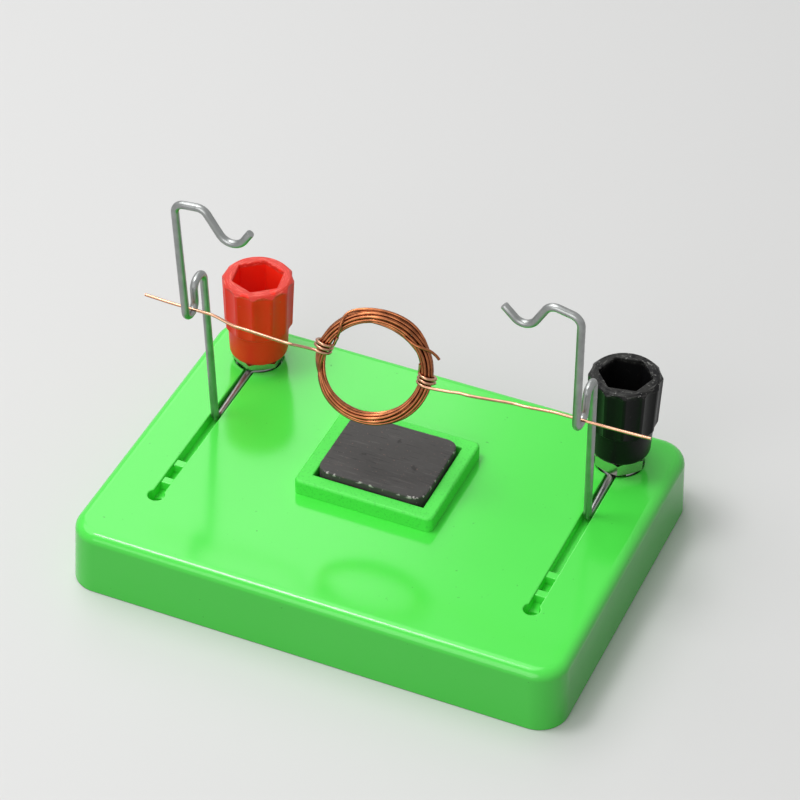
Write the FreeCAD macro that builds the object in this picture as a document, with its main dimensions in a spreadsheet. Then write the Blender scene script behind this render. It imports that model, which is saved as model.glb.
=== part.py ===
import FreeCAD, Part
import math
import os
import Sketcher
from FreeCAD import Placement, Rotation, Vector

# Demonstration electric motor.
# A copper coil turns on its own two wire ends, which lie in notches of two bent wire brackets above
# a ferrite magnet. The brackets are clamped under two binding posts on a moulded plastic base.
# Frame: origin at the bottom centre of the base, +X towards the black post, +Y towards the posts,
# +Z up. Lengths are in millimetres.

SIZES = (
    # moulded base
    ("base_length", 110.0, "length of the base at its bottom, along X"),
    ("base_width", 80.0, "width of the base at its bottom, along Y"),
    ("base_height", 15.0, "height of the top face"),
    ("base_draft", 0.5, "how far each side leans in over the height"),
    ("base_corner", 6.5, "radius of the upright corners"),
    ("base_rim", 2.3, "radius of the top edge"),
    ("shell_wall", 2.0, "thickness of the side walls"),
    ("top_plate", 2.0, "thickness of the top plate"),
    ("rib_wall", 1.4, "thickness of the stiffening ribs below the plate"),
    ("rib_drop", 3.6, "how far those ribs hang below the plate"),
    ("rib_side", 22.0, "distance of the two long ribs from the middle"),
    ("rib_bite", 0.5, "how far a rib runs into the side wall, or a bridge into a groove's side"),
    # wire grooves
    ("groove_width", 2.3, "width of the groove for the bracket's foot"),
    ("groove_depth", 2.5, "depth of the groove below the top face"),
    ("groove_front", -22.3, "centre of the keyhole that ends the groove, along Y"),
    ("groove_stop", 2.7, "how far before the stud's axis the groove ends, inside the recess"),
    ("keyhole_size", 3.5, "diameter of the keyhole"),
    ("keyhole_depth", 3.0, "depth of the keyhole"),
    ("channel_wall", 1.5, "plastic left round a groove on the underside"),
    ("bridge_first", -10.8, "centre of the first bridge across the groove, along Y"),
    ("bridge_second", -16.8, "centre of the second bridge across the groove, along Y"),
    ("bridge_length", 1.9, "length of a bridge along the groove"),
    ("bridge_sunk", 0.4, "how far a bridge stays below the top face"),
    ("recess_size", 10.6, "diameter of the recess for the wire eye"),
    ("recess_depth", 1.5, "depth of the recess for the wire eye"),
    # magnet and its frame
    ("frame_x", -0.8, "middle of the magnet frame, along X"),
    ("frame_y", 3.7, "middle of the magnet frame, along Y"),
    ("frame_length", 31.2, "outer length of the magnet frame"),
    ("frame_width", 27.2, "outer width of the magnet frame"),
    ("frame_height", 3.6, "height of the magnet frame above the top face"),
    ("frame_corner", 1.0, "radius of the frame's upright corners"),
    ("magnet_length", 24.2, "length of the magnet"),
    ("magnet_width", 20.4, "width of the magnet"),
    ("magnet_thick", 5.0, "thickness of the magnet"),
    ("magnet_corner", 2.8, "radius of the magnet's corners"),
    ("magnet_play", 0.3, "gap between the magnet and each wall of its pocket"),
    ("magnet_shift", 0.1, "how far the magnet lies behind the middle of its pocket"),
    # binding posts
    ("post_inset", 13.0, "distance of each post from that end of the base, along X"),
    ("post_margin", 12.1, "distance of the posts from the back side of the base, along Y"),
    ("thread_size", 5.9, "diameter of the stud (M6)"),
    ("nut_bore", 6.0, "bore of the nuts and inserts (M6)"),
    ("nut_flats", 10.0, "width across flats of the nuts"),
    ("left_nut_turn", -88.0, "direction of a corner of the left nuts, in degrees"),
    ("right_nut_turn", -75.0, "direction of a corner of the right nuts, in degrees"),
    ("left_clamp_thick", 1.8, "thickness of the nut that clamps the left bracket"),
    ("right_clamp_thick", 3.2, "thickness of the nut that clamps the right bracket"),
    ("lower_thick", 5.0, "thickness of the nut below the plate"),
    ("stud_hole", 6.4, "hole for the stud in the base and the knob"),
    ("boss_size", 14.4, "diameter of the boss round the stud hole"),
    ("stud_below", 1.4, "stud that stands out below the lower nut"),
    ("stud_above", 1.6, "stud that stands out above the insert"),
    # knobs
    ("knob_seat", 0.1, "gap between the knob and the clamp nut"),
    ("knob_height", 20.1, "height of the knob"),
    ("knob_top", 15.7, "diameter of the knob's top"),
    ("knob_waist", 14.8, "diameter at the lower end of the fluted part"),
    ("knob_neck", 13.2, "diameter of the smooth part below the flutes"),
    ("knob_foot", 12.7, "diameter of the smooth part near its foot"),
    ("knob_foot_round", 1.25, "radius of the foot's edge"),
    ("knob_bevel", 0.9, "bevel of the top rim"),
    ("flute_length", 12.0, "length of the fluted part"),
    ("flute_step", 0.8, "height of the slope below the flutes"),
    ("flute_count", 12.0, "number of flutes"),
    ("flute_depth", 0.48, "depth of a flute"),
    ("flute_turn", 22.6, "angle from a corner of the socket to the middle of a flute"),
    ("knob_facets", 24.0, "flat facets that a knob's round form is drawn with"),
    ("socket_flats", 10.0, "width across flats of the knob's hexagonal socket"),
    ("socket_depth", 12.0, "depth of the hexagonal socket"),
    ("red_knob_turn", -20.5, "direction of a corner of the red knob's socket, in degrees"),
    ("black_knob_turn", 11.5, "direction of a corner of the black knob's socket, in degrees"),
    ("insert_size", 8.6, "diameter of the threaded insert"),
    ("insert_length", 6.0, "length of the threaded insert"),
    ("insert_play", 0.05, "gap round the threaded insert"),
    # bracket wire
    ("wire_size", 1.7, "diameter of the bracket wire"),
    ("wire_sides", 10.0, "sides of the polygon that the wire's round section is swept as"),
    ("bend_step", 22.5, "largest turn between two straight pieces of a bend, in degrees"),
    ("wire_seat", 0.04, "gap below the wire where it lies in the base"),
    ("eye_gap", 0.2, "gap between the stud and the wire eye"),
    ("eye_start", -52.0, "direction of the eye's cut end, in degrees"),
    ("eye_end", 235.0, "direction in which the wire leaves the eye, in degrees"),
    ("foot_bend", 2.2, "bend radius at the front end of the foot"),
    ("hairpin_share", 0.93, "bend radius of a hairpin as a share of half its width"),
    ("notch_floor", 46.2, "height of the wire's middle at the floor of the notch"),
    # left bracket
    ("left_lean", 3.8, "outward lean in degrees"),
    ("left_foot_front", 6.0, "front end of the foot, where the wire turns up, along Y"),
    ("left_leg_back", 7.0, "back leg of the arch at its top, along Y"),
    ("left_leg_front", 2.5, "front leg of the arch at its top, along Y"),
    ("left_arch_top", 52.5, "height of the arch"),
    ("left_notch_back", 2.2, "back leg of the notch, along Y"),
    ("left_notch_front", -2.0, "front leg of the notch, along Y"),
    ("left_hook_front", -2.1, "place of the hook along Y"),
    ("left_leg_top", 75.3, "height at which the wire turns inward to the hook"),
    ("left_crest_inward", 6.6, "how far the hook's crest corner lies inward of the leg"),
    ("left_crest_top", 75.9, "height of the hook's crest corner"),
    ("left_dip_inward", 12.3, "how far the hook's dip corner lies inward of the leg"),
    ("left_dip_floor", 66.5, "height of the hook's dip corner"),
    ("left_tip_inward", 16.8, "how far the hook's tip lies inward of the leg"),
    ("left_tip_top", 73.0, "height of the hook's tip"),
    ("left_turn_bend", 2.2, "bend radius where the leg turns inward"),
    ("left_crest_bend", 2.5, "bend radius of the crest"),
    ("left_dip_bend", 3.2, "bend radius of the dip"),
    # right bracket
    ("right_lean", 0.0, "outward lean in degrees"),
    ("right_foot_front", 9.1, "front end of the foot, where the wire turns up, along Y"),
    ("right_leg_back", 7.2, "back leg of the arch at its top, along Y"),
    ("right_leg_front", 3.6, "front leg of the arch at its top, along Y"),
    ("right_arch_top", 52.5, "height of the arch"),
    ("right_notch_back", 2.5, "back leg of the notch, along Y"),
    ("right_notch_front", -2.0, "front leg of the notch, along Y"),
    ("right_hook_front", -2.8, "place of the hook along Y"),
    ("right_leg_top", 74.9, "height at which the wire turns inward to the hook"),
    ("right_crest_inward", 6.6, "how far the hook's crest corner lies inward of the leg"),
    ("right_crest_top", 76.3, "height of the hook's crest corner"),
    ("right_dip_inward", 11.2, "how far the hook's dip corner lies inward of the leg"),
    ("right_dip_floor", 68.4, "height of the hook's dip corner"),
    ("right_tip_inward", 16.2, "how far the hook's tip lies inward of the leg"),
    ("right_tip_top", 73.2, "height of the hook's tip"),
    ("right_turn_bend", 2.5, "bend radius where the leg turns inward"),
    ("right_crest_bend", 2.5, "bend radius of the crest"),
    ("right_dip_bend", 2.8, "bend radius of the dip"),
    # coil
    ("copper_size", 0.75, "diameter of the enamelled copper wire"),
    ("copper_sides", 8.0, "sides of the polygon that the copper wire is swept as"),
    ("axle_gap", 0.1, "running gap between the axle and the notch floor"),
    ("coil_x", -2.8, "middle of the coil, along X"),
    ("coil_drop", 1.8, "how far the middle of the coil hangs below the axle"),
    ("coil_radius", 11.1, "radius of the middle of the winding"),
    ("bundle_radius", 1.4, "radius of the bundle of turns"),
    ("bundle_valley", 0.2, "depth of the valleys between the outer turns"),
    ("bundle_turns", 9.0, "turns that show round the bundle"),
    ("coil_sides", 36.0, "straight pieces in the ring of the winding"),
    ("coil_tilt", 19.4, "how far the coil leans back, in degrees"),
    ("coil_yaw", 12.0, "how far the coil is turned about Z, in degrees"),
    ("binding_left", 162.0, "place of the left binding round the coil, in degrees"),
    ("binding_right", -8.0, "place of the right binding round the coil, in degrees"),
    ("binding_turns", 3.0, "turns of wire in a binding"),
    ("binding_sides", 20.0, "straight pieces round a binding"),
    ("binding_gap", 0.12, "gap between the binding and the bundle"),
    ("left_tail", 10.4, "length of the left axle lead beyond its notch, along X"),
    ("right_tail", 14.4, "length of the right axle lead beyond its notch, along X"),
    ("left_tip_rise", 0.3, "height of the left tip above the axle"),
    ("right_tip_rise", 0.3, "height of the right tip above the axle"),
    ("lead_bend", 10.0, "bend radius of the axle leads"),
    ("lead_straight", 4.0, "length of lead that runs true on each side of the notch"),
)

doc = FreeCAD.newDocument("demonstration_motor")
sheet = doc.addObject("Spreadsheet::Sheet", "Sizes")
for row, (alias, value, meaning) in enumerate(SIZES, start=1):
    sheet.set(f"A{row}", alias)
    sheet.set(f"B{row}", str(value))
    sheet.set(f"C{row}", meaning)
    sheet.setAlias(f"B{row}", alias)
doc.recompute()


def size(alias):
    """The value of one driving dimension."""
    return float(sheet.get(alias))


# ---------------------------------------------------------------------------------------------
# Levels that several sub-parts share, written as expressions on the sheet.

S = "Sizes."
POST_SIDE = f"({S}base_length / 2 - {S}post_inset)"
POST_BACK = f"({S}base_width / 2 - {S}post_margin)"
PLATE_UNDER = f"({S}base_height - {S}top_plate)"
BOSS_UNDER = f"({S}base_height - {S}groove_depth - {S}channel_wall)"
CLAMP_UNDER = f"({S}base_height - {S}recess_depth + {S}wire_seat + {S}wire_size)"
SOCKET_FLOOR = f"({S}knob_height - {S}socket_depth)"
STUD_UNDER = f"({BOSS_UNDER} - {S}lower_thick - {S}stud_below)"
SIDES = (("left", -1), ("right", 1))
MITRED = 1  # the way a swept section turns a corner


def knob_under(side):
    """Level of the knob's foot, just above the clamp nut of that side."""
    return f"({CLAMP_UNDER} + {S}{side}_clamp_thick + {S}knob_seat)"


def insert_under(side):
    return f"({knob_under(side)} + {SOCKET_FLOOR} - {S}insert_length)"


# ---------------------------------------------------------------------------------------------
# Helpers for PartDesign bodies


def new_body(label):
    body = doc.addObject("PartDesign::Body", label)
    body.Label = label
    return body


def plane_of(body, role):
    return next(f for f in body.Origin.OriginFeatures if f.Role == role)


def new_sketch(body, name, role, level=None):
    """A sketch on one of the body's origin planes, raised along that plane's normal."""
    sketch = body.newObject("Sketcher::SketchObject", name)
    sketch.AttachmentSupport = [(plane_of(body, role), "")]
    sketch.MapMode = "FlatFace"
    if level is not None:
        sketch.setExpression(".AttachmentOffset.Base.z", level)
    return sketch


def fix_point(sketch, edge, end, across, along, tag):
    """Place one end of an edge by two expressions, measured from the sketch's origin."""
    for kind, expression, letter in (("DistanceX", across, "x"), ("DistanceY", along, "y")):
        name = f"{tag}_{letter}"
        at = sketch.addConstraint(Sketcher.Constraint(kind, -1, 1, edge, end, 1.0))
        sketch.renameConstraint(at, name)
        sketch.setExpression(f"Constraints.{name}", expression)


def outline(body, name, role, corners, level=None):
    """A closed outline of straight lines through corners given as pairs of expressions."""
    sketch = new_sketch(body, name, role, level)
    count = len(corners)
    ring = [
        Vector(10 * math.cos(2 * math.pi * i / count), 10 * math.sin(2 * math.pi * i / count), 0)
        for i in range(count)
    ]
    for i in range(count):
        sketch.addGeometry(Part.LineSegment(ring[i], ring[(i + 1) % count]))
    for i in range(count):
        sketch.addConstraint(Sketcher.Constraint("Coincident", i, 2, (i + 1) % count, 1))
    for i, (across, along) in enumerate(corners):
        fix_point(sketch, i, 1, across, along, f"corner{i}")
    return sketch


def rectangle(body, name, role, x_low, x_high, y_low, y_high, level=None):
    corners = [(x_low, y_low), (x_high, y_low), (x_high, y_high), (x_low, y_high)]
    return outline(body, name, role, corners, level)


def rounded_rectangle(body, name, role, x_low, x_high, y_low, y_high, radius, level=None):
    """A rectangle whose corners are arcs tangent to its sides."""
    sketch = new_sketch(body, name, role, level)
    reach, round_off = 10.0, 2.0
    flat = reach - round_off
    for quarter in range(4):
        angle = quarter * math.pi / 2
        turn = Rotation(Vector(0, 0, 1), math.degrees(angle))
        sketch.addGeometry(
            Part.LineSegment(
                turn.multVec(Vector(-flat, -reach, 0)), turn.multVec(Vector(flat, -reach, 0))
            )
        )
        rim = Part.Circle(turn.multVec(Vector(flat, -flat, 0)), Vector(0, 0, 1), round_off)
        sketch.addGeometry(Part.ArcOfCircle(rim, angle - math.pi / 2, angle))
    for i in range(8):
        sketch.addConstraint(Sketcher.Constraint("Tangent", i, 2, (i + 1) % 8, 1))
    for line, kind in ((0, "Horizontal"), (2, "Vertical"), (4, "Horizontal"), (6, "Vertical")):
        sketch.addConstraint(Sketcher.Constraint(kind, line))
    at = sketch.addConstraint(Sketcher.Constraint("Radius", 1, round_off))
    sketch.renameConstraint(at, "radius")
    sketch.setExpression("Constraints.radius", radius)
    for arc in (3, 5, 7):
        sketch.addConstraint(Sketcher.Constraint("Equal", 1, arc))
    sides = (
        ("DistanceY", 0, y_low),
        ("DistanceX", 2, x_high),
        ("DistanceY", 4, y_high),
        ("DistanceX", 6, x_low),
    )
    for kind, line, expression in sides:
        at = sketch.addConstraint(Sketcher.Constraint(kind, -1, 1, line, 1, 1.0))
        sketch.renameConstraint(at, f"side{line}")
        sketch.setExpression(f"Constraints.side{line}", expression)
    return sketch


def circles(body, name, role, level, *rings):
    """Circles given as (centre x, centre y, diameter) expressions, all in one sketch."""
    sketch = new_sketch(body, name, role, level)
    for i, (across, along, diameter) in enumerate(rings):
        sketch.addGeometry(Part.Circle(Vector(i + 1.0, 0, 0), Vector(0, 0, 1), 1.0))
        fix_point(sketch, i, 3, across, along, f"centre{i}")
        at = sketch.addConstraint(Sketcher.Constraint("Diameter", i, 2.0))
        sketch.renameConstraint(at, f"diameter{i}")
        sketch.setExpression(f"Constraints.diameter{i}", diameter)
    return sketch


def hexagon(body, name, level, flats):
    """A regular hexagon about the Z axis with its first corner on +X."""
    reach = f"{flats} / 2 / cos(30deg)"
    corners = []
    for i in range(6):
        corners.append((f"{reach} * cos({60 * i}deg)", f"{reach} * sin({60 * i}deg)"))
    return outline(body, name, "XY_Plane", corners, level)


def volume_of(body):
    return body.Shape.Volume if body.Shape and not body.Shape.isNull() else 0.0


def extrude(kind, body, name, sketch, length, back=False, taper=None):
    """A Pad or a Pocket whose effect on the volume is checked."""
    before = volume_of(body)
    feature = body.newObject(f"PartDesign::{kind}", name)
    feature.Profile = sketch
    feature.Reversed = back
    feature.setExpression("Length", length)
    if taper is not None:
        feature.setExpression("TaperAngle", taper)
    sketch.Visibility = False
    doc.recompute()
    change = volume_of(body) - before
    if (change > 0) != (kind == "Pad"):
        raise ValueError(f"{name} changed the volume by {change:.3f}")
    return feature


def pad(body, name, sketch, length, back=False, taper=None):
    return extrude("Pad", body, name, sketch, length, back, taper)


def pocket(body, name, sketch, length, back=False, taper=None):
    return extrude("Pocket", body, name, sketch, length, back, taper)


def edges_where(body, test):
    """Names of the body's edges whose middle point and direction pass the test."""
    names = []
    for i, edge in enumerate(body.Shape.Edges, start=1):
        first, last = edge.ParameterRange
        middle = edge.valueAt((first + last) / 2)
        if test(edge, middle):
            names.append(f"Edge{i}")
    return names


def fillet(body, name, edges, radius):
    """Round named edges of the body's last feature."""
    carrier = body.Tip
    feature = body.newObject("PartDesign::Fillet", name)
    feature.Base = (carrier, edges)
    feature.setExpression("Radius", radius)
    doc.recompute()
    if "Invalid" in feature.State or not edges:
        raise ValueError(f"{name} failed on {len(edges)} edges")
    return feature


def is_upright(edge):
    if len(edge.Vertexes) != 2:
        return False
    rise = edge.Vertexes[1].Point - edge.Vertexes[0].Point
    return abs(rise.z) > 0.9 * edge.Length


# ---------------------------------------------------------------------------------------------
# Moulded base: an open shell with a magnet frame, two wire grooves and a boss under each post


def build_base():
    body = new_body("base_shell")
    half_long, half_wide = f"({S}base_length / 2)", f"({S}base_width / 2)"
    draft = f"atan({S}base_draft / {S}base_height)"
    block = rounded_rectangle(
        body,
        "block_outline",
        "XY_Plane",
        f"-{half_long}",
        half_long,
        f"-{half_wide}",
        half_wide,
        f"{S}base_corner",
    )
    pad(body, "block", block, f"{S}base_height", taper=f"-{draft}")
    high = size("base_height") - 1e-4
    fillet(body, "rim", edges_where(body, lambda e, m: m.z > high), f"{S}base_rim")
    hollow = rounded_rectangle(
        body,
        "hollow_outline",
        "XY_Plane",
        f"-{half_long} + {S}shell_wall",
        f"{half_long} - {S}shell_wall",
        f"-{half_wide} + {S}shell_wall",
        f"{half_wide} - {S}shell_wall",
        f"{S}base_corner - {S}shell_wall",
    )
    pocket(body, "hollow", hollow, PLATE_UNDER, back=True)

    # stiffening ribs below the plate; each runs into the walls at both ends
    end_x = f"({half_long} - {S}shell_wall + {S}rib_bite)"
    end_y = f"({half_wide} - {S}shell_wall + {S}rib_bite)"
    for name, place in (("rib_left", f"-{S}rib_side"), ("rib_right", f"{S}rib_side")):
        rib = rectangle(
            body,
            f"{name}_outline",
            "XY_Plane",
            f"{place} - {S}rib_wall / 2",
            f"{place} + {S}rib_wall / 2",
            f"-{end_y}",
            end_y,
            PLATE_UNDER,
        )
        pad(body, name, rib, f"{S}rib_drop", back=True)
    cross = rectangle(
        body,
        "rib_cross_outline",
        "XY_Plane",
        f"-{end_x}",
        end_x,
        f"{S}frame_y - {S}rib_wall / 2",
        f"{S}frame_y + {S}rib_wall / 2",
        PLATE_UNDER,
    )
    pad(body, "rib_cross", cross, f"{S}rib_drop", back=True)

    # frame round the magnet's pocket
    frame = rectangle(
        body,
        "frame_outline",
        "XY_Plane",
        f"{S}frame_x - {S}frame_length / 2",
        f"{S}frame_x + {S}frame_length / 2",
        f"{S}frame_y - {S}frame_width / 2",
        f"{S}frame_y + {S}frame_width / 2",
        f"{S}base_height",
    )
    pad(body, "frame", frame, f"{S}frame_height")
    upright = edges_where(body, lambda e, m: is_upright(e) and m.z > size("base_height"))
    fillet(body, "frame_corners", upright, f"{S}frame_corner")
    magnet_gap = f"({S}magnet_length / 2 + {S}magnet_play)"
    magnet_gap_y = f"({S}magnet_width / 2 + {S}magnet_play)"
    socket = rectangle(
        body,
        "magnet_pocket_outline",
        "XY_Plane",
        f"{S}frame_x - {magnet_gap}",
        f"{S}frame_x + {magnet_gap}",
        f"{S}frame_y - {magnet_gap_y}",
        f"{S}frame_y + {magnet_gap_y}",
        f"{S}base_height + {S}frame_height",
    )
    pocket(body, "magnet_pocket", socket, f"{S}frame_height")

    for side, sign in SIDES:
        middle = f"{sign} * {POST_SIDE}"
        channel_front = f"{S}groove_front - {S}keyhole_size / 2 - {S}channel_wall"
        channel = rectangle(
            body,
            f"{side}_channel_outline",
            "XY_Plane",
            f"{middle} - {S}groove_width / 2 - {S}channel_wall",
            f"{middle} + {S}groove_width / 2 + {S}channel_wall",
            channel_front,
            POST_BACK,
            PLATE_UNDER,
        )
        pad(body, f"{side}_channel", channel, f"{PLATE_UNDER} - {BOSS_UNDER}", back=True)
        keyhole_wall = f"{S}keyhole_size + 2 * {S}channel_wall"
        drops = circles(
            body,
            f"{side}_boss_outline",
            "XY_Plane",
            PLATE_UNDER,
            (middle, POST_BACK, f"{S}boss_size"),
            (middle, f"{S}groove_front", keyhole_wall),
        )
        pad(body, f"{side}_boss", drops, f"{PLATE_UNDER} - {BOSS_UNDER}", back=True)
        groove = rectangle(
            body,
            f"{side}_groove_outline",
            "XY_Plane",
            f"{middle} - {S}groove_width / 2",
            f"{middle} + {S}groove_width / 2",
            f"{S}groove_front",
            f"{POST_BACK} - {S}groove_stop",
            f"{S}base_height",
        )
        pocket(body, f"{side}_groove", groove, f"{S}groove_depth")
        keyhole = circles(
            body,
            f"{side}_keyhole_outline",
            "XY_Plane",
            f"{S}base_height",
            (middle, f"{S}groove_front", f"{S}keyhole_size"),
        )
        pocket(body, f"{side}_keyhole", keyhole, f"{S}keyhole_depth")
        recess = circles(
            body,
            f"{side}_recess_outline",
            "XY_Plane",
            f"{S}base_height",
            (middle, POST_BACK, f"{S}recess_size"),
        )
        pocket(body, f"{side}_recess", recess, f"{S}recess_depth")
        hole = circles(
            body,
            f"{side}_hole_outline",
            "XY_Plane",
            f"{S}base_height",
            (middle, POST_BACK, f"{S}stud_hole"),
        )
        pocket(body, f"{side}_hole", hole, f"{S}base_height")
        for name, place in (("first", f"{S}bridge_first"), ("second", f"{S}bridge_second")):
            bridge = rectangle(
                body,
                f"{side}_{name}_bridge_outline",
                "XY_Plane",
                f"{middle} - {S}groove_width / 2 - {S}rib_bite",
                f"{middle} + {S}groove_width / 2 + {S}rib_bite",
                f"{place} - {S}bridge_length / 2",
                f"{place} + {S}bridge_length / 2",
                f"{S}base_height - {S}bridge_sunk",
            )
            pad(body, f"{side}_{name}_bridge", bridge, f"{S}groove_depth - {S}bridge_sunk", back=True)
    return body


# ---------------------------------------------------------------------------------------------
# Ferrite magnet, loose in its pocket


def build_magnet():
    body = new_body("magnet")
    block = rectangle(
        body,
        "magnet_outline",
        "XY_Plane",
        f"-{S}magnet_length / 2",
        f"{S}magnet_length / 2",
        f"-{S}magnet_width / 2",
        f"{S}magnet_width / 2",
    )
    pad(body, "magnet_block", block, f"{S}magnet_thick")
    upright = edges_where(body, lambda e, m: is_upright(e))
    fillet(body, "magnet_corners", upright, f"{S}magnet_corner")
    body.setExpression(".Placement.Base.x", f"{S}frame_x")
    body.setExpression(".Placement.Base.y", f"{S}frame_y + {S}magnet_shift")
    body.setExpression(".Placement.Base.z", f"{S}base_height")
    return body


# ---------------------------------------------------------------------------------------------
# Binding post hardware. Each piece is modelled about the Z axis and then placed on its post.


def place_on_post(body, sign, level, turn="0"):
    body.setExpression(".Placement.Base.x", f"{sign} * {POST_SIDE}")
    body.setExpression(".Placement.Base.y", POST_BACK)
    body.setExpression(".Placement.Base.z", level)
    body.setExpression(".Placement.Rotation.Angle", turn)


def build_stud(side, sign):
    body = new_body(f"{side}_post_stud")
    rod = circles(body, f"{side}_stud_outline", "XY_Plane", None, ("0", "0", f"{S}thread_size"))
    top = f"{insert_under(side)} + {S}insert_length + {S}stud_above"
    pad(body, f"{side}_stud_rod", rod, f"{top} - {STUD_UNDER}")
    place_on_post(body, sign, STUD_UNDER)
    return body


def build_nut(side, place, sign, thickness, level):
    label = f"{side}_{place}_nut"
    body = new_body(label)
    block = hexagon(body, f"{label}_hexagon", None, f"{S}nut_flats")
    pad(body, f"{label}_block", block, thickness)
    bore = circles(body, f"{label}_bore_outline", "XY_Plane", thickness, ("0", "0", f"{S}nut_bore"))
    pocket(body, f"{label}_bore", bore, thickness)
    place_on_post(body, sign, level, f"{S}{side}_nut_turn")
    return body


def build_insert(colour, side, sign):
    """Threaded sleeve that the knob grips."""
    body = new_body(f"{colour}_knob_insert")
    outer, bore = ("0", "0", f"{S}insert_size"), ("0", "0", f"{S}nut_bore")
    ring = circles(body, f"{colour}_insert_outline", "XY_Plane", None, outer, bore)
    pad(body, f"{colour}_insert_sleeve", ring, f"{S}insert_length")
    place_on_post(body, sign, insert_under(side))
    return body


def knob_ring(body, name, level, radius):
    """A round outline of the knob, drawn as short straight facets."""
    facets = int(size("knob_facets"))
    corners = []
    for i in range(facets):
        angle = f"{360 / facets * i}deg"
        corners.append((f"{radius} * cos({angle})", f"{radius} * sin({angle})"))
    return outline(body, name, "XY_Plane", corners, level)


def flute_outline(body, name, level):
    """A flute's valley and its two slopes, run on past the ridges and closed outside the knob."""
    pitch = f"(360deg / {S}flute_count)"
    valley = f"({S}knob_top / 2 - {S}flute_depth)"
    across, beside = f"{valley} * cos({pitch} / 6)", f"{valley} * sin({pitch} / 6)"
    outer = f"({S}knob_top * cos({pitch} / 2) - {across})"
    wide = f"({S}knob_top * sin({pitch} / 2) - {beside})"
    corners = [
        (across, f"-{beside}"),
        (outer, f"-{wide}"),
        (f"{S}knob_top", f"-{wide}"),
        (f"{S}knob_top", wide),
        (outer, wide),
        (across, beside),
    ]
    sketch = outline(body, name, "XY_Plane", corners, level)
    sketch.setExpression(".AttachmentOffset.Rotation.Angle", f"{S}flute_turn")
    return sketch


def build_knob(colour, side, sign):
    """Plastic knob: a fluted grip over a smooth round foot, with a hexagonal socket from above."""
    body = new_body(f"{colour}_knob")
    high, flutes = f"{S}knob_height", f"({S}knob_height - {S}flute_length)"
    inner = f"({S}knob_foot / 2 - {S}knob_foot_round)"
    slope = f"({S}flute_step / ({S}knob_waist - {S}knob_neck) * 2)"
    levels = (
        ("0", inner),
        (f"{S}knob_foot_round * (1 - cos(45deg))", f"({inner} + {S}knob_foot_round * sin(45deg))"),
        (f"{S}knob_foot_round", f"({S}knob_foot / 2)"),
        (f"{flutes} - {S}flute_step", f"({S}knob_neck / 2)"),
        (f"{flutes} + {S}flute_depth * {slope}", f"({S}knob_waist / 2 + {S}flute_depth)"),
        (f"{high} - {S}knob_bevel - {S}flute_depth", f"({S}knob_top / 2 + {S}flute_depth)"),
        (high, f"({S}knob_top / 2 - {S}knob_bevel)"),
    )
    rings = []
    for i, (level, radius) in enumerate(levels):
        rings.append(knob_ring(body, f"{colour}_ring{i}", level, radius))
    form = body.newObject("PartDesign::AdditiveLoft", f"{colour}_knob_form")
    form.Profile = rings[0]
    form.Sections = rings[1:]
    form.Ruled = True
    doc.recompute()
    if volume_of(body) <= 0:
        raise ValueError(f"{colour}_knob_form has no volume")

    # the flutes cut away everything outside the ridges
    widening = f"atan(({S}knob_top - {S}knob_waist) / 2 / {S}flute_length)"
    deep = f"{S}flute_length + {S}flute_step"
    flute = flute_outline(body, f"{colour}_flute_outline", high)
    first = pocket(body, f"{colour}_flute", flute, deep, taper=widening)
    pattern = body.newObject("PartDesign::PolarPattern", f"{colour}_flutes")
    pattern.Originals = [first]
    pattern.Axis = (plane_of(body, "Z_Axis"), [""])
    pattern.Angle = 360.0
    pattern.setExpression("Occurrences", f"{S}flute_count")
    body.Tip = pattern
    doc.recompute()

    socket = hexagon(body, f"{colour}_socket_outline", high, f"{S}socket_flats")
    pocket(body, f"{colour}_socket", socket, f"{S}socket_depth")
    seat_size = f"{S}insert_size + 2 * {S}insert_play"
    seat = circles(body, f"{colour}_seat_outline", "XY_Plane", high, ("0", "0", seat_size))
    pocket(body, f"{colour}_seat", seat, f"{S}socket_depth + {S}insert_length + {S}insert_play")
    hole = circles(body, f"{colour}_hole_outline", "XY_Plane", high, ("0", "0", f"{S}stud_hole"))
    pocket(body, f"{colour}_hole", hole, high)
    place_on_post(body, sign, knob_under(side), f"{S}{colour}_knob_turn")
    return body


# ---------------------------------------------------------------------------------------------
# Bent wire: a polygon swept along a chain of short straight pieces with mitred joints


def arc_points(centre, start, axis, turn):
    """Points on an arc from start, no more than one bend step apart; turn is in degrees."""
    count = max(1, math.ceil(abs(turn) / size("bend_step")))
    spoke = start - centre
    return [centre + Rotation(axis, turn * i / count).multVec(spoke) for i in range(count + 1)]


def bend_points(before, corner, after, radius):
    """Points along the arc that rounds one corner, or nothing where the wire runs straight."""
    back = (before - corner).normalize()
    ahead = (after - corner).normalize()
    half_turn = (math.pi - back.getAngle(ahead)) / 2
    if half_turn < 1e-3:
        return []
    enter = corner + back * radius * math.tan(half_turn)
    centre = corner + (back + ahead).normalize() * radius / math.cos(half_turn)
    return arc_points(centre, enter, ahead.cross(back), math.degrees(2 * half_turn))


def wire_points(corners, radii):
    """Corners of the wire's middle line, each inner one rounded by its radius."""
    points = [corners[0]]
    for i, radius in enumerate(radii, start=1):
        points += bend_points(corners[i - 1], corners[i], corners[i + 1], radius)
    return points + [corners[-1]]


def polygon_section(diameter, sides):
    """Corners, about the wire's middle, of a regular polygon with the round wire's area."""
    share = 2 * math.pi / (sides * math.sin(2 * math.pi / sides))
    radius = diameter / 2 * math.sqrt(share)
    angles = [2 * math.pi * (i + 0.5) / sides for i in range(sides)]
    return [(radius * math.sin(a), radius * math.cos(a)) for a in angles]


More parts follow.
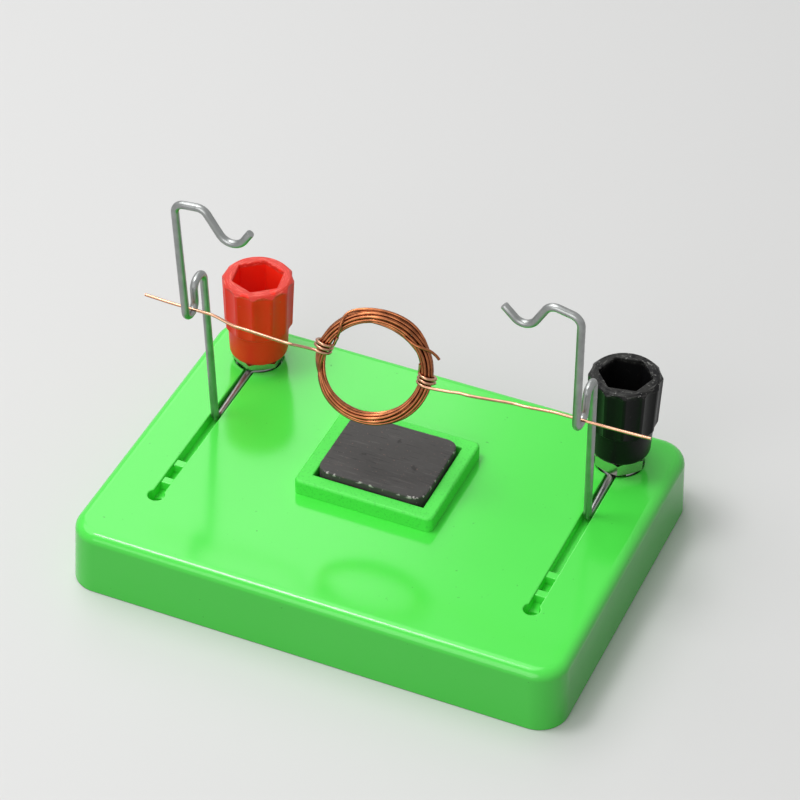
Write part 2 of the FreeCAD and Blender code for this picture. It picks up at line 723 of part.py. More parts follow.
def sweep(points, section, up):
    """A solid swept along points; each section corner is (to the side, along up)."""
    heading = (points[1] - points[0]).normalize()
    across = heading.cross(up).normalize()
    rise = across.cross(heading)
    ring = [points[0] + across * a + rise * b for a, b in section]
    path = Part.makePolygon(points)
    solid = path.makePipeShell([Part.makePolygon(ring + ring[:1])], True, False, MITRED)
    if not solid.isValid() or solid.Volume <= 0:
        raise ValueError("a swept wire is not a valid solid")
    return solid


def sweep_ring(radius, sides, section):
    """A section swept round the Z axis in straight pieces whose middles lie at the radius."""
    reach = radius / math.cos(math.pi / sides)
    middle = Vector(radius, 0, 0)
    spokes = [2 * math.pi * (i + 0.5) / sides for i in range(sides)]
    corners = [Vector(reach * math.cos(a), reach * math.sin(a), 0) for a in spokes]
    return sweep([middle] + corners + [middle], section, Vector(0, 0, 1))


def add_shape(label, shape, placement=None):
    feature = doc.addObject("Part::Feature", label)
    feature.Label = label
    feature.Shape = shape
    if placement is not None:
        feature.Placement = placement
    return feature


# ---------------------------------------------------------------------------------------------
# Brackets. Each one is bent from a single wire: an eye under the clamp nut, a foot in the groove,
# an outer leg, an arch, the notch that carries the axle, an inner leg and a hook that points inward.


def post_side():
    """Distance of each post from the middle, along X."""
    return size("base_length") / 2 - size("post_inset")


def foot_height():
    """Height of the wire's middle where the foot lies on the floor of the groove."""
    return size("base_height") - size("groove_depth") + size("wire_seat") + size("wire_size") / 2


def lean_shift(side, height):
    """How far the bracket's lean carries it outward at a height."""
    return (height - foot_height()) * math.tan(math.radians(size(f"{side}_lean")))


def bracket_points(side, out):
    """Middle line of one bracket, from the eye to the hook's tip; out is +1 right and -1 left."""

    def of(name):
        return size(f"{side}_{name}")

    def at(outward, y, z):
        return Vector(out * (post_side() + outward), y, z)

    def leaning(outward, y, z):
        return at(outward + lean_shift(side, z), y, z)

    # the eye runs from its cut end on the outer side, round the back, to the inner side
    eye_z = size("base_height") - size("recess_depth") + size("wire_seat") + size("wire_size") / 2
    centre = at(0, size("base_width") / 2 - size("post_margin"), eye_z)
    eye_radius = size("thread_size") / 2 + size("eye_gap") + size("wire_size") / 2
    start_angle, end_angle = math.radians(size("eye_start")), math.radians(size("eye_end"))
    start = at(
        eye_radius * math.cos(start_angle),
        centre.y + eye_radius * math.sin(start_angle),
        eye_z,
    )
    turn = out * (size("eye_end") - size("eye_start"))
    eye = arc_points(centre, start, Vector(0, 0, 1), turn)

    # from there it runs straight to the middle of the groove
    run = eye_radius * math.cos(end_angle) / math.sin(end_angle)
    neck_y = centre.y + eye_radius * math.sin(end_angle) + run * math.cos(end_angle)
    corners = [
        eye[-1],
        at(0, neck_y, eye_z),
        at(0, of("foot_front"), foot_height()),
        leaning(0, of("leg_back"), of("arch_top")),
        leaning(0, of("leg_front"), of("arch_top")),
        leaning(0, of("notch_back"), size("notch_floor")),
        leaning(0, of("notch_front"), size("notch_floor")),
        leaning(0, of("hook_front"), of("leg_top")),
        leaning(-of("crest_inward"), of("hook_front"), of("crest_top")),
        leaning(-of("dip_inward"), of("hook_front"), of("dip_floor")),
        leaning(-of("tip_inward"), of("hook_front"), of("tip_top")),
    ]
    arch_bend = (of("leg_back") - of("leg_front")) / 2 * size("hairpin_share")
    notch_bend = (of("notch_back") - of("notch_front")) / 2 * size("hairpin_share")
    radii = [size("wire_size"), size("foot_bend"), arch_bend, arch_bend, notch_bend, notch_bend]
    radii += [of("turn_bend"), of("crest_bend"), of("dip_bend")]
    return eye[:-1] + wire_points(corners, radii)


def build_bracket(side, out):
    section = polygon_section(size("wire_size"), int(size("wire_sides")))
    return add_shape(f"{side}_bracket", sweep(bracket_points(side, out), section, Vector(0, 0, 1)))


# ---------------------------------------------------------------------------------------------
# Rotor: the winding, its two bindings and the two wire ends that serve as the axle


def axle_height():
    return size("notch_floor") + size("wire_size") / 2 + size("axle_gap") + size("copper_size") / 2


def coil_rotation():
    """Turns a ring about +Z into the coil: its axis points to the front, up and a little right."""
    stand = Rotation(Vector(1, 0, 0), 90 - size("coil_tilt"))
    return Rotation(Vector(0, 0, 1), size("coil_yaw")).multiply(stand)


def coil_centre():
    return Vector(size("coil_x"), 0, axle_height() - size("coil_drop"))


def coil_point(degrees):
    angle = math.radians(degrees)
    flat = Vector(math.cos(angle), math.sin(angle), 0) * size("coil_radius")
    return coil_centre() + coil_rotation().multVec(flat)


def build_winding():
    """A ring whose section has one ridge for each outer turn of the bundle."""
    turns = int(size("bundle_turns"))
    ridge = size("bundle_radius")
    reaches = (ridge, ridge - size("bundle_valley"))
    section = []
    for i in range(2 * turns):
        angle = math.pi * i / turns
        reach = reaches[i % 2]
        section.append((reach * math.cos(angle), reach * math.sin(angle)))
    ring = sweep_ring(size("coil_radius"), int(size("coil_sides")), section)
    return add_shape("coil_winding", ring, Placement(coil_centre(), coil_rotation()))


def build_binding(side):
    """Turns of wire laid side by side round the bundle."""
    wire, turns = size("copper_size"), int(size("binding_turns"))
    half = wire / 2
    end = turns * half
    section = [(-half, end), (-half, -end)]
    for i in range(turns):
        section.append((0, i * wire - end))
        section.append((half, (i + 0.5) * wire - end))
    section.append((0, end))
    middle = size("bundle_radius") + size("binding_gap") + half
    ring = sweep_ring(middle, int(size("binding_sides")), section)
    degrees = size(f"binding_{side}")
    along = Vector(-math.sin(math.radians(degrees)), math.cos(math.radians(degrees)), 0)
    turn = Rotation(Vector(0, 0, 1), coil_rotation().multVec(along))
    return add_shape(f"{side}_binding", ring, Placement(coil_point(degrees), turn))


def notch_x(side):
    """Where the axle crosses the notch of a bracket."""
    out = -1 if side == "left" else 1
    return out * (post_side() + lean_shift(side, size("notch_floor")))


# Bends of each lead: share of the way from binding to notch, then y, and height above the axle.
LEAD_BENDS = {
    "left": ((0.28, -0.6, -1.3), (0.637, 0.0, -1.4)),
    "right": ((0.263, 1.0, -2.9), (0.617, 0.2, -0.9)),
}


def build_lead(side):
    """One end of the winding: from its binding to the notch, true through it, to its tip."""
    out = -1 if side == "left" else 1
    axle = axle_height()
    binding = coil_point(size(f"binding_{side}"))
    crossing, straight, tail = notch_x(side), size("lead_straight"), size(f"{side}_tail")
    reach = crossing - binding.x
    corners = [Vector(binding.x + share * reach, y, axle + rise) for share, y, rise in LEAD_BENDS[side]]
    heading = (corners[0] - binding).normalize()
    clear = size("bundle_radius") + 2 * size("binding_gap") + size("copper_size")
    corners.insert(0, binding + heading * clear)
    corners.append(Vector(crossing - out * straight, 0, axle))
    corners.append(Vector(crossing + out * straight, 0, axle))
    corners.append(Vector(crossing + out * tail, 0, axle + size(f"{side}_tip_rise")))
    radii = [size("lead_bend")] * (len(corners) - 2)
    section = polygon_section(size("copper_size"), int(size("copper_sides")))
    return add_shape(f"{side}_axle_lead", sweep(wire_points(corners, radii), section, Vector(0, 0, 1)))


# ---------------------------------------------------------------------------------------------
# Build every sub-part

parts = [build_base(), build_magnet()]
for side, sign in SIDES:
    parts.append(build_stud(side, sign))
    parts.append(build_nut(side, "clamp", sign, f"{S}{side}_clamp_thick", CLAMP_UNDER))
    lower_level = f"{BOSS_UNDER} - {S}lower_thick"
    parts.append(build_nut(side, "lower", sign, f"{S}lower_thick", lower_level))
    parts.append(build_bracket(side, sign))
for (side, sign), colour in zip(SIDES, ("red", "black")):
    parts.append(build_insert(colour, side, sign))
    parts.append(build_knob(colour, side, sign))
parts.append(build_winding())
for side, sign in SIDES:
    parts.append(build_binding(side))
    parts.append(build_lead(side))

doc.recompute()
failed = [o.Name for o in doc.Objects if "Invalid" in o.State or "Error" in o.State]
if failed:
    raise RuntimeError(f"failed objects: {failed}")
os.makedirs("parts", exist_ok=True)
for part in parts:
    shape = part.Shape
    if shape.isNull() or not shape.isValid() or not shape.Solids:
        raise RuntimeError(f"{part.Label} has no valid solid")
for part in parts:
    part.Shape.exportStep(os.path.join("parts", f"{part.Label}.step"))
    box = part.Shape.BoundBox
    print(f"{part.Label:20s} {box.XLength:7.2f} {box.YLength:7.2f} {box.ZLength:7.2f} "
          f"volume {part.Shape.Volume:9.2f} solids {len(part.Shape.Solids)}")
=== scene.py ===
# %% [markdown]
# # A demonstration electric motor
# The mechanical model of this teaching motor is loaded first. It is the fixed frame: every piece
# built below is laid over one of its parts and moves with the body that part belongs to. The
# pieces are made one after another, each with the Blender tools that suit its real shape. The
# motor's lengths are written in millimetres and become metres where Blender is told of them.

# %% Load the frame
import math

import bmesh
import bpy
from mathutils import Matrix, Quaternion, Vector, noise


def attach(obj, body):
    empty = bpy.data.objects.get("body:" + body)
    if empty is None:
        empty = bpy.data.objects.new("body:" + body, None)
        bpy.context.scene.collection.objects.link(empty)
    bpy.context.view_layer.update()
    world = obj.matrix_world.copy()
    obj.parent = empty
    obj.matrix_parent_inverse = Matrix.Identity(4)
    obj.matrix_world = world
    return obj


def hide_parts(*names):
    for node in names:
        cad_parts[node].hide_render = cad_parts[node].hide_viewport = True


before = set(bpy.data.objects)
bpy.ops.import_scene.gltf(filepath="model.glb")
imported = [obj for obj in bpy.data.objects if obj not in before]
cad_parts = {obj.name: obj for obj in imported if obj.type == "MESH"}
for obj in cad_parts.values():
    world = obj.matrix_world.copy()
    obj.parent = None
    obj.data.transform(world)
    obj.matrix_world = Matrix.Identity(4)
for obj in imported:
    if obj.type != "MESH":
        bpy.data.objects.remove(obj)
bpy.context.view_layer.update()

MM = 0.001

# %% [markdown]
# ## Small tools for the workbench
# Operators act on whatever is selected, so each job starts with nothing else selected. Faces, edges
# and points are then picked by their place, as one does by hand, and the operator is run on those.

# %% Add a primitive and pick parts of it


def mm(*values):
    """Millimetres to metres, as a vector."""
    return Vector(values) * MM


def add(operator, name, **settings):
    """Run an operator that adds a primitive, and name what it makes."""
    bpy.ops.object.select_all(action="DESELECT")
    operator(**settings)
    piece = bpy.context.object
    piece.name = name
    bpy.ops.object.transform_apply(location=True, rotation=True, scale=True)
    return piece


def put(name, data):
    """A new object in the scene that holds the data."""
    thing = bpy.data.objects.new(name, data)
    bpy.context.scene.collection.objects.link(thing)
    return thing


def only(piece):
    """Select one piece and nothing else."""
    bpy.ops.object.select_all(action="DESELECT")
    piece.select_set(True)
    bpy.context.view_layer.objects.active = piece


def edit(piece, action="DESELECT"):
    """Go into edit mode on one piece, with nothing or with all of it selected."""
    only(piece)
    bpy.ops.object.mode_set(mode="EDIT")
    bpy.ops.mesh.select_all(action=action)


def pick(piece, kind, test):
    """In edit mode, select the points, edges or faces whose middle passes the test."""
    bpy.ops.mesh.select_mode(type=kind)
    bpy.ops.mesh.select_all(action="DESELECT")
    mesh = bmesh.from_edit_mesh(piece.data)
    for item in {"VERT": mesh.verts, "EDGE": mesh.edges, "FACE": mesh.faces}[kind]:
        corners = [item] if kind == "VERT" else item.verts
        middle = sum((vert.co for vert in corners), Vector()) / len(corners)
        if test(middle / MM, item):
            item.select_set(True)
    bmesh.update_edit_mesh(piece.data)


def upright(middle, edge):
    """A test for pick: edges that run up and down."""
    return abs(edge.verts[0].co.z - edge.verts[1].co.z) > 1e-6


def round_off(radius, segments):
    """Bevel the selected edges."""
    bpy.ops.mesh.bevel(offset=radius * MM, segments=segments, affect="EDGES")


def done():
    bpy.ops.object.mode_set(mode="OBJECT")


def face_outward():
    """Turn every face of the piece in edit mode outward, and leave edit mode."""
    bpy.ops.mesh.select_all(action="SELECT")
    bpy.ops.mesh.normals_make_consistent(inside=False)
    done()


# %% [markdown]
# Cuts and joins are Boolean modifiers, applied at once. What a piece measures is printed when it is
# finished: a closed solid has no open edges.

# %% Modifiers, Booleans and measures


def apply_modifier(piece, kind, **settings):
    """Add one modifier and apply it at once."""
    modifier = piece.modifiers.new(kind.title(), kind)
    for key, value in settings.items():
        setattr(modifier, key, value)
    only(piece)
    bpy.ops.object.modifier_apply(modifier=modifier.name)


def combine(piece, tool, operation):
    """Boolean with a tool, which is then removed."""
    apply_modifier(piece, "BOOLEAN", object=tool, operation=operation, solver="EXACT")
    bpy.data.objects.remove(tool)


def cut(piece, tool):
    combine(piece, tool, "DIFFERENCE")


def join(piece, tool):
    combine(piece, tool, "UNION")


def measure(piece):
    """Print what a mesh holds."""
    mesh = bmesh.new()
    mesh.from_mesh(piece.data)
    open_edges = sum(len(edge.link_faces) != 2 for edge in mesh.edges)
    size = [round(v / MM, 2) for v in piece.dimensions]
    volume = mesh.calc_volume(signed=True) / MM**3
    mesh.free()
    print(f"{piece.name}: {len(piece.data.polygons)} faces, {open_edges} open edges, "
          f"size {size}, volume {volume:.0f} mm3")


# %% [markdown]
# Turned parts are all made alike. A filled circle is added at the lowest level, then its face is
# extruded upwards ring by ring and drawn in or out at each level. A cutter whose mouth flares
# leaves a soft lip, as a mould does, so no separate bevel is needed on the cut edge.

# %% Turned solids and cutters with a soft lip


def grow(piece, rise, scale_x, scale_y, middle):
    """Extrude the selected face upwards and scale the new face about its middle."""
    bpy.ops.mesh.extrude_region_move(TRANSFORM_OT_translate={"value": (0, 0, rise * MM)})
    bpy.ops.transform.resize(value=(scale_x, scale_y, 1), center_override=middle)


def turned(name, rings, x=0.0, y=0.0, sides=96):
    """A solid of revolution from (radius, height) rings, lowest first."""
    radius, level = rings[0]
    piece = add(bpy.ops.mesh.primitive_circle_add, name, vertices=sides, radius=radius * MM,
                fill_type="NGON", location=mm(x, y, level))
    edit(piece, "SELECT")
    for next_radius, next_level in rings[1:]:
        share = next_radius / radius
        grow(piece, next_level - level, share, share, mm(x, y, next_level))
        radius, level = next_radius, next_level
    face_outward()
    return piece


def lip_steps(lip):
    """How far a flaring lip has opened, and how high it has come, step by step."""
    turns = [math.pi / 2 * i / 4 for i in (1, 2, 3, 4)]
    return [(lip * (1 - math.cos(turn)), lip * math.sin(turn)) for turn in turns]


def flare(piece, half_x, half_y, lip, middle):
    """Extrude the selected top face up through a flaring lip and 1 mm beyond it."""
    before_out, before_up = 0.0, 0.0
    for out, up in lip_steps(lip) + [(lip, lip + 1)]:
        grow(piece, up - before_up, (half_x + out) / (half_x + before_out),
             (half_y + out) / (half_y + before_out), middle)
        before_out, before_up = out, up
    done()


def round_cutter(name, x, y, radius, floor, top, lip, sides):
    """A round cutter from the floor up to a surface, with a flaring mouth."""
    rings = [(radius, floor), (radius, top - lip)]
    rings += [(radius + out, top - lip + up) for out, up in lip_steps(lip)]
    rings.append((radius + lip, top + 1))
    return turned(name, rings, x, y, sides)


def box_block(name, x0, x1, y0, y1, z0, z1):
    return add(bpy.ops.mesh.primitive_cube_add, name, size=1,
               location=mm((x0 + x1) / 2, (y0 + y1) / 2, (z0 + z1) / 2),
               scale=mm(x1 - x0, y1 - y0, z1 - z0))


def box_cutter(name, x0, x1, y0, y1, floor, top, lip):
    """A box cutter from the floor up to a surface, with a flaring mouth."""
    piece = box_block(name, x0, x1, y0, y1, floor, top - lip)
    edit(piece)
    pick(piece, "FACE", lambda m, f: m.z > top - lip - 1e-3 and f.normal.z > 0.9)
    flare(piece, (x1 - x0) / 2, (y1 - y0) / 2, lip, mm((x0 + x1) / 2, (y0 + y1) / 2, top))
    return piece


# %% [markdown]
# A finished shape is welded, since Booleans can leave hairline gaps, and then shaded: smooth across
# gentle turns, sharp at real edges. Weighted normals keep large flat faces flat beside soft rims.

# %% Weld and shade


def weld(piece):
    """Merge points that lie in one place, so that neighbouring faces share their edges."""
    edit(piece, "SELECT")
    bpy.ops.mesh.remove_doubles(threshold=0.002 * MM)
    done()


def smooth(piece, angle=30, weighted=True):
    """Weld, then smooth shading with sharp edges kept, and large flat faces kept flat."""
    weld(piece)
    bpy.ops.object.shade_smooth_by_angle(angle=math.radians(angle))
    if weighted:
        apply_modifier(piece, "WEIGHTED_NORMAL", keep_sharp=True, weight=60)


# %% [markdown]
# ## Materials
# Real surfaces are never one flat value. Four node groups are built once and used all over. Each has
# named inputs, and takes its place on the piece as one of them, so that a material only says where,
# how large and how much.

# %% Helpers for node trees
SHARE_STEP = 0.35


def new_group(name, inputs, outputs):
    """An empty group with what it is told and what it gives; inputs are numbers or vectors."""
    group = bpy.data.node_groups.new(name, "ShaderNodeTree")
    for label, value in inputs.items():
        kind = "NodeSocketFloat" if isinstance(value, float) else "NodeSocketVector"
        group.interface.new_socket(label, in_out="INPUT", socket_type=kind).default_value = value
    for label in outputs:
        group.interface.new_socket(label, in_out="OUTPUT", socket_type="NodeSocketFloat")
    return group, group.nodes.new("NodeGroupInput").outputs, group.nodes.new("NodeGroupOutput").inputs


def fill(tree, slot, value):
    """Give one input a socket to be linked to, or a fixed value."""
    if isinstance(value, bpy.types.NodeSocket):
        tree.links.new(value, slot)
    else:
        slot.default_value = value


def feed(tree, node, **values):
    """Fill inputs of a node by name."""
    for name, value in values.items():
        fill(tree, node.inputs[name.replace("_", " ")], value)


def math_node(tree, operation, *values, kind="ShaderNodeMath"):
    """A Math node whose inputs are sockets or numbers; gives its output socket."""
    node = tree.nodes.new(kind)
    node.operation = operation
    for slot, value in zip(node.inputs, values):
        fill(tree, slot, value)
    return node.outputs[0]


def noise_at(tree, where, scale, detail):
    node = tree.nodes.new("ShaderNodeTexNoise")
    feed(tree, node, Vector=where, Scale=scale, Detail=detail)
    return node.outputs["Fac"]


def peaks(tree, value, start, share, sharpness):
    """Keep only what stands above a level, which falls as the share grows."""
    level = math_node(tree, "SUBTRACT", start, math_node(tree, "MULTIPLY", share, SHARE_STEP))
    over = math_node(tree, "SUBTRACT", value, level)
    result = math_node(tree, "MULTIPLY", over, sharpness)
    result.node.use_clamp = True
    return result


# %% [markdown]
# The first group gives slow clouds of change and a fine grain. Moulded, cast and drawn surfaces have
# both: the clouds come from cooling and handling, and the grain from the mould or the die.

# %% Clouds and grain
ORIGIN = (0, 0, 0)
clouds, said, told = new_group(
    "clouds_and_grain", {"Where": ORIGIN, "Cloud scale": 60.0, "Grain scale": 1500.0}, ("Cloud", "Grain"))
for result, detail in (("Cloud", 2), ("Grain", 4)):
    pattern = noise_at(clouds, said["Where"], said[f"{result} scale"], detail)
    clouds.links.new(pattern, told[result])
print("made", clouds.name)

# %% [markdown]
# The second scatters small round specks, for pits, grit and dust. They are the peaks of a fine noise.

# %% Specks
specks, said, told = new_group(
    "specks", {"Where": ORIGIN, "Scale": 900.0, "Share": 0.2}, ("Speck",))
speck_noise = noise_at(specks, said["Where"], said["Scale"], 2)
specks.links.new(peaks(specks, speck_noise, 0.72, said["Share"], 14.0), told["Speck"])
print("made", specks.name)

# %% [markdown]
# The third draws streaks, such as grinding leaves on a hard block. The space is stretched before the
# noise is read, so its peaks come out long in one direction.

# %% Streaks
streaks, said, told = new_group(
    "streaks", {"Where": ORIGIN, "Stretch": (1, 1, 1), "Scale": 300.0, "Share": 0.2}, ("Streak",))
stretched = math_node(streaks, "MULTIPLY", said["Where"], said["Stretch"],
                      kind="ShaderNodeVectorMath")
streak_noise = noise_at(streaks, stretched, said["Scale"], 3)
streaks.links.new(peaks(streaks, streak_noise, 0.68, said["Share"], 9.0), told["Streak"])
print("made", streaks.name)

# %% [markdown]
# The fourth draws fine rings about an upright axis, as plugs and fingers rub them on a rim. The
# space is unrolled for it: distance from the axis, turn about it, and height, each with its scale.

# %% Ring scratches
rings, said, told = new_group(
    "ring_scratches", {"Where": ORIGIN, "Axis": ORIGIN, "Share": 0.2}, ("Scratch",))
from_axis = math_node(rings, "SUBTRACT", said["Where"], said["Axis"],
                      kind="ShaderNodeVectorMath")
split = rings.nodes.new("ShaderNodeSeparateXYZ")
rings.links.new(from_axis, split.inputs[0])
across, along, height = split.outputs
squares = [math_node(rings, "MULTIPLY", side, side) for side in (across, along)]
reach = math_node(rings, "SQRT", math_node(rings, "ADD", *squares))
turn_round = math_node(rings, "ARCTAN2", along, across)
unrolled = rings.nodes.new("ShaderNodeCombineXYZ")
for slot, value, scale in (("X", reach, 3800), ("Y", turn_round, 3.2), ("Z", height, 2400)):
    rings.links.new(math_node(rings, "MULTIPLY", value, scale), unrolled.inputs[slot])
ring_noise = noise_at(rings, unrolled.outputs[0], 1.0, 3)
rings.links.new(peaks(rings, ring_noise, 0.68, said["Share"], 10.0), told["Scratch"])
print("node groups:", [g.name for g in bpy.data.node_groups])

# %% [markdown]
# A small recipe for materials: colour between two tones by the clouds, roughness between two
# values by the grain, and a shallow bump. Marks of another colour are laid on top where needed.

# %% A recipe for materials
COAT_ROUGHNESS = 0.14


def mix_colours(tree, share, a, b):
    """A colour between two, each a socket or three numbers; gives the output socket."""
    node = tree.nodes.new("ShaderNodeMix")
    node.data_type = "RGBA"
    tree.links.new(share, node.inputs["Factor"])
    for slot, value in ((node.inputs[6], a), (node.inputs[7], b)):
        fill(tree, slot, value if isinstance(value, bpy.types.NodeSocket) else (*value, 1))
    return node.outputs[2]


def map_range(tree, value, start, end, low=0, high=1):
    """Stretch a value from start to end over low to high; gives the output socket."""
    node = tree.nodes.new("ShaderNodeMapRange")
    feed(tree, node, Value=value, From_Min=start, From_Max=end, To_Min=low, To_Max=high)
    return node.outputs["Result"]


def use_group(tree, kind, **values):
    """Put one of the groups into a tree; gives its node."""
    node = tree.nodes.new("ShaderNodeGroup")
    node.node_tree = kind
    feed(tree, node, **values)
    return node


def finish_of(name, tone_a, tone_b, rough, cloud_scale, grain_scale, bump,
              metallic=0.0, coat=0.0, ior=1.5):
    """A material from the recipe; gives it with the sockets that later nodes build on."""
    material = bpy.data.materials.new(name)
    material.use_nodes = True
    tree = material.node_tree
    shader = tree.nodes["Principled BSDF"]
    where = tree.nodes.new("ShaderNodeTexCoord").outputs["Object"]
    pattern = use_group(tree, clouds, Where=where, Cloud_scale=cloud_scale, Grain_scale=grain_scale)
    colour = mix_colours(tree, pattern.outputs["Cloud"], tone_a, tone_b)
    roughness = map_range(tree, pattern.outputs["Grain"], 0, 1, *rough)
    bump_node = tree.nodes.new("ShaderNodeBump")
    feed(tree, bump_node, Distance=bump * MM, Height=pattern.outputs["Grain"])
    feed(tree, shader, Base_Color=colour, Roughness=roughness, Normal=bump_node.outputs["Normal"],
         Metallic=metallic, Coat_Weight=coat, Coat_Roughness=COAT_ROUGHNESS, IOR=ior)
    return {"material": material, "tree": tree, "shader": shader, "where": where,
            "colour": colour, "roughness": roughness}


def add_marks(finish, kind, colour, mask=None, **values):
    """Lay marks of another colour over the surface, everywhere or only where a mask is 1."""
    tree = finish["tree"]
    amount = use_group(tree, kind, Where=finish["where"], **values).outputs[0]
    if mask is not None:
        amount = math_node(tree, "MULTIPLY", amount, mask)
    finish["colour"] = mix_colours(tree, amount, finish["colour"], colour)
    feed(tree, finish["shader"], Base_Color=finish["colour"])


def height_mask(finish, low, high):
    """1 above the height high, 0 below low, in millimetres."""
    tree = finish["tree"]
    split = tree.nodes.new("ShaderNodeSeparateXYZ")
    tree.links.new(finish["where"], split.inputs[0])
    return map_range(tree, split.outputs["Z"], low * MM, high * MM)


# %% [markdown]
# ## The finishes
# The base is glossy moulded plastic. The knobs are a duller plastic, and the red one is a little
# translucent, so light that enters its rim comes out of its sides. The magnet is ground ferrite. The
# brackets are zinc-plated steel wire, the studs and nuts are nickel-plated, and the inserts are
# turned brass. The coil's wire is copper under a brown enamel, which is scraped off both ends.

# %% Finishes
green = finish_of("moulded_green", (0.066, 0.72, 0.062), (0.080, 0.77, 0.076), (0.10, 0.20),
                  22, 900, 0.005)
red = finish_of("moulded_red", (0.97, 0.024, 0.007), (1.0, 0.036, 0.013), (0.34, 0.50),
                120, 1600, 0.02, ior=1.36)
feed(red["tree"], red["shader"], Subsurface_Weight=0.6, Subsurface_Radius=(1.0, 0.12, 0.06),
     Subsurface_Scale=3.0 * MM)
black = finish_of("moulded_black", (0.0035, 0.0035, 0.004), (0.0065, 0.0065, 0.007), (0.24, 0.44),
                  150, 1400, 0.02, ior=1.22)
ferrite = finish_of("sintered_ferrite", (0.044, 0.042, 0.040), (0.066, 0.063, 0.060), (0.50, 0.70),
                    140, 1100, 0.03, ior=1.35)
galvanised = finish_of("galvanised_wire", (0.21, 0.22, 0.215), (0.39, 0.40, 0.395), (0.24, 0.42),
                       420, 2600, 0.006, metallic=1.0)
nickel = finish_of("nickel_plate", (0.52, 0.50, 0.44), (0.66, 0.64, 0.58), (0.14, 0.28),
                   240, 1800, 0.004, metallic=1.0)
brass = finish_of("turned_brass", (0.60, 0.42, 0.18), (0.72, 0.54, 0.26), (0.22, 0.38),
                  240, 1800, 0.005, metallic=1.0)
copper = finish_of("enamelled_copper", (0.06, 0.011, 0.003), (0.60, 0.21, 0.082), (0.13, 0.24),
                   420, 1500, 0.003, metallic=1.0, coat=0.15)
bare_copper = finish_of("scraped_copper", (0.36, 0.17, 0.105), (0.62, 0.36, 0.24), (0.12, 0.26),
                        420, 2400, 0.005, metallic=1.0)
print("materials:", [m.name for m in bpy.data.materials if m.use_nodes])

# %% [markdown]
# A finished piece is handed over with one call: it gets its finish, the body it rides on, and
# the parts of the frame that it stands for.

# %% Hand a piece over


def dress(piece, finish, slot, body, *nodes):
    """Give a finished piece its material, its body and the nodes it stands for; the slot is not used."""
    piece.data.materials.append(finish["material"])
    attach(piece, body)
    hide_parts(*nodes)
    measure(piece)


# %% [markdown]
# ## The moulded base
# The base is one injection moulding: an open shell with drafted sides, a broad round rim, a raised
# frame for the magnet, and a groove on each side in which a wire lies. A cube is drafted and
# bevelled for the outside, since scaling its top face gives the same draft as a mould has. Then
# cutters with soft lips take out the grooves, recesses and pocket.

# %% Outer block of the base
LENGTH, WIDTH, HEIGHT, DRAFT = 110.0, 80.0, 15.0, 0.5
CORNER, RIM, FOOT_EDGE = 6.5, 2.3, 0.3
base = box_block("base_moulding", -LENGTH / 2, LENGTH / 2, -WIDTH / 2, WIDTH / 2, 0, HEIGHT)
edit(base)
pick(base, "FACE", lambda m, f: f.normal.z > 0.9)
bpy.ops.transform.resize(value=((LENGTH - 2 * DRAFT) / LENGTH, (WIDTH - 2 * DRAFT) / WIDTH, 1),
                         center_override=mm(0, 0, HEIGHT))
pick(base, "EDGE", lambda m, e: abs(m.x) > LENGTH / 2 - 5 and abs(m.y) > WIDTH / 2 - 4)
round_off(CORNER, 14)
pick(base, "EDGE", lambda m, e: m.z > HEIGHT - 0.01 and len(e.link_faces) == 2
     and min(f.normal.z for f in e.link_faces) < 0.5)
round_off(RIM, 8)
pick(base, "EDGE", lambda m, e: m.z < 0.01 and min(f.normal.z for f in e.link_faces) < -0.9
     and max(f.normal.z for f in e.link_faces) > -0.5)
round_off(FOOT_EDGE, 2)
done()
measure(base)

# %% [markdown]
# The magnet frame stands on the top face. Its corners and its upper edge are soft, so the block is
# bevelled before it is joined on, and the pocket is then cut with a flaring mouth.

# %% Magnet frame
FRAME_X, FRAME_Y, FRAME_TOP = (-16.4, 14.8), (-9.9, 17.3), 18.6
POCKET_X, POCKET_Y, POCKET_LIP = (-13.2, 11.6), (-6.7, 14.1), 0.4
wall = box_block("frame_wall", *FRAME_X, *FRAME_Y, HEIGHT - 1, FRAME_TOP)
edit(wall)
pick(wall, "EDGE", upright)
round_off(1.4, 8)
pick(wall, "EDGE", lambda m, e: m.z > FRAME_TOP - 0.01)
round_off(0.65, 5)
done()
join(base, wall)
cut(base, box_cutter("pocket", *POCKET_X, *POCKET_Y, HEIGHT, FRAME_TOP, POCKET_LIP))
measure(base)

# %% [markdown]
# Under the plate the shell is hollow, with walls and plate of about 2 mm. Two long ribs and a cross
# rib stiffen it, a wall surrounds each groove, and a boss takes the pull of each binding post.

# %% Underside
WALL = 2.0
INNER_X, INNER_Y, PLATE_UNDER = LENGTH / 2 - WALL, WIDTH / 2 - WALL, HEIGHT - WALL
IN_PLATE = HEIGHT - 1
RIB_UNDER, BOSS_UNDER = 9.4, 11.0
POST_X, POST_Y, KEYHOLE_Y = 42.0, 27.9, -22.3
hollow = box_block("hollow", -INNER_X, INNER_X, -INNER_Y, INNER_Y, -1, PLATE_UNDER)
edit(hollow)
pick(hollow, "EDGE", upright)
round_off(CORNER - WALL, 6)
pick(hollow, "EDGE", lambda m, e: m.z > PLATE_UNDER - 0.01)
round_off(0.8, 4)
done()
cut(base, hollow)
for name, *sides in (("rib_left", -22.7, -21.3, -INNER_Y - 0.5, INNER_Y + 0.5),
                     ("rib_right", 21.3, 22.7, -INNER_Y - 0.5, INNER_Y + 0.5),
                     ("rib_cross", -INNER_X - 0.5, INNER_X + 0.5, 3.0, 4.4)):
    join(base, box_block(name, *sides, RIB_UNDER, IN_PLATE))
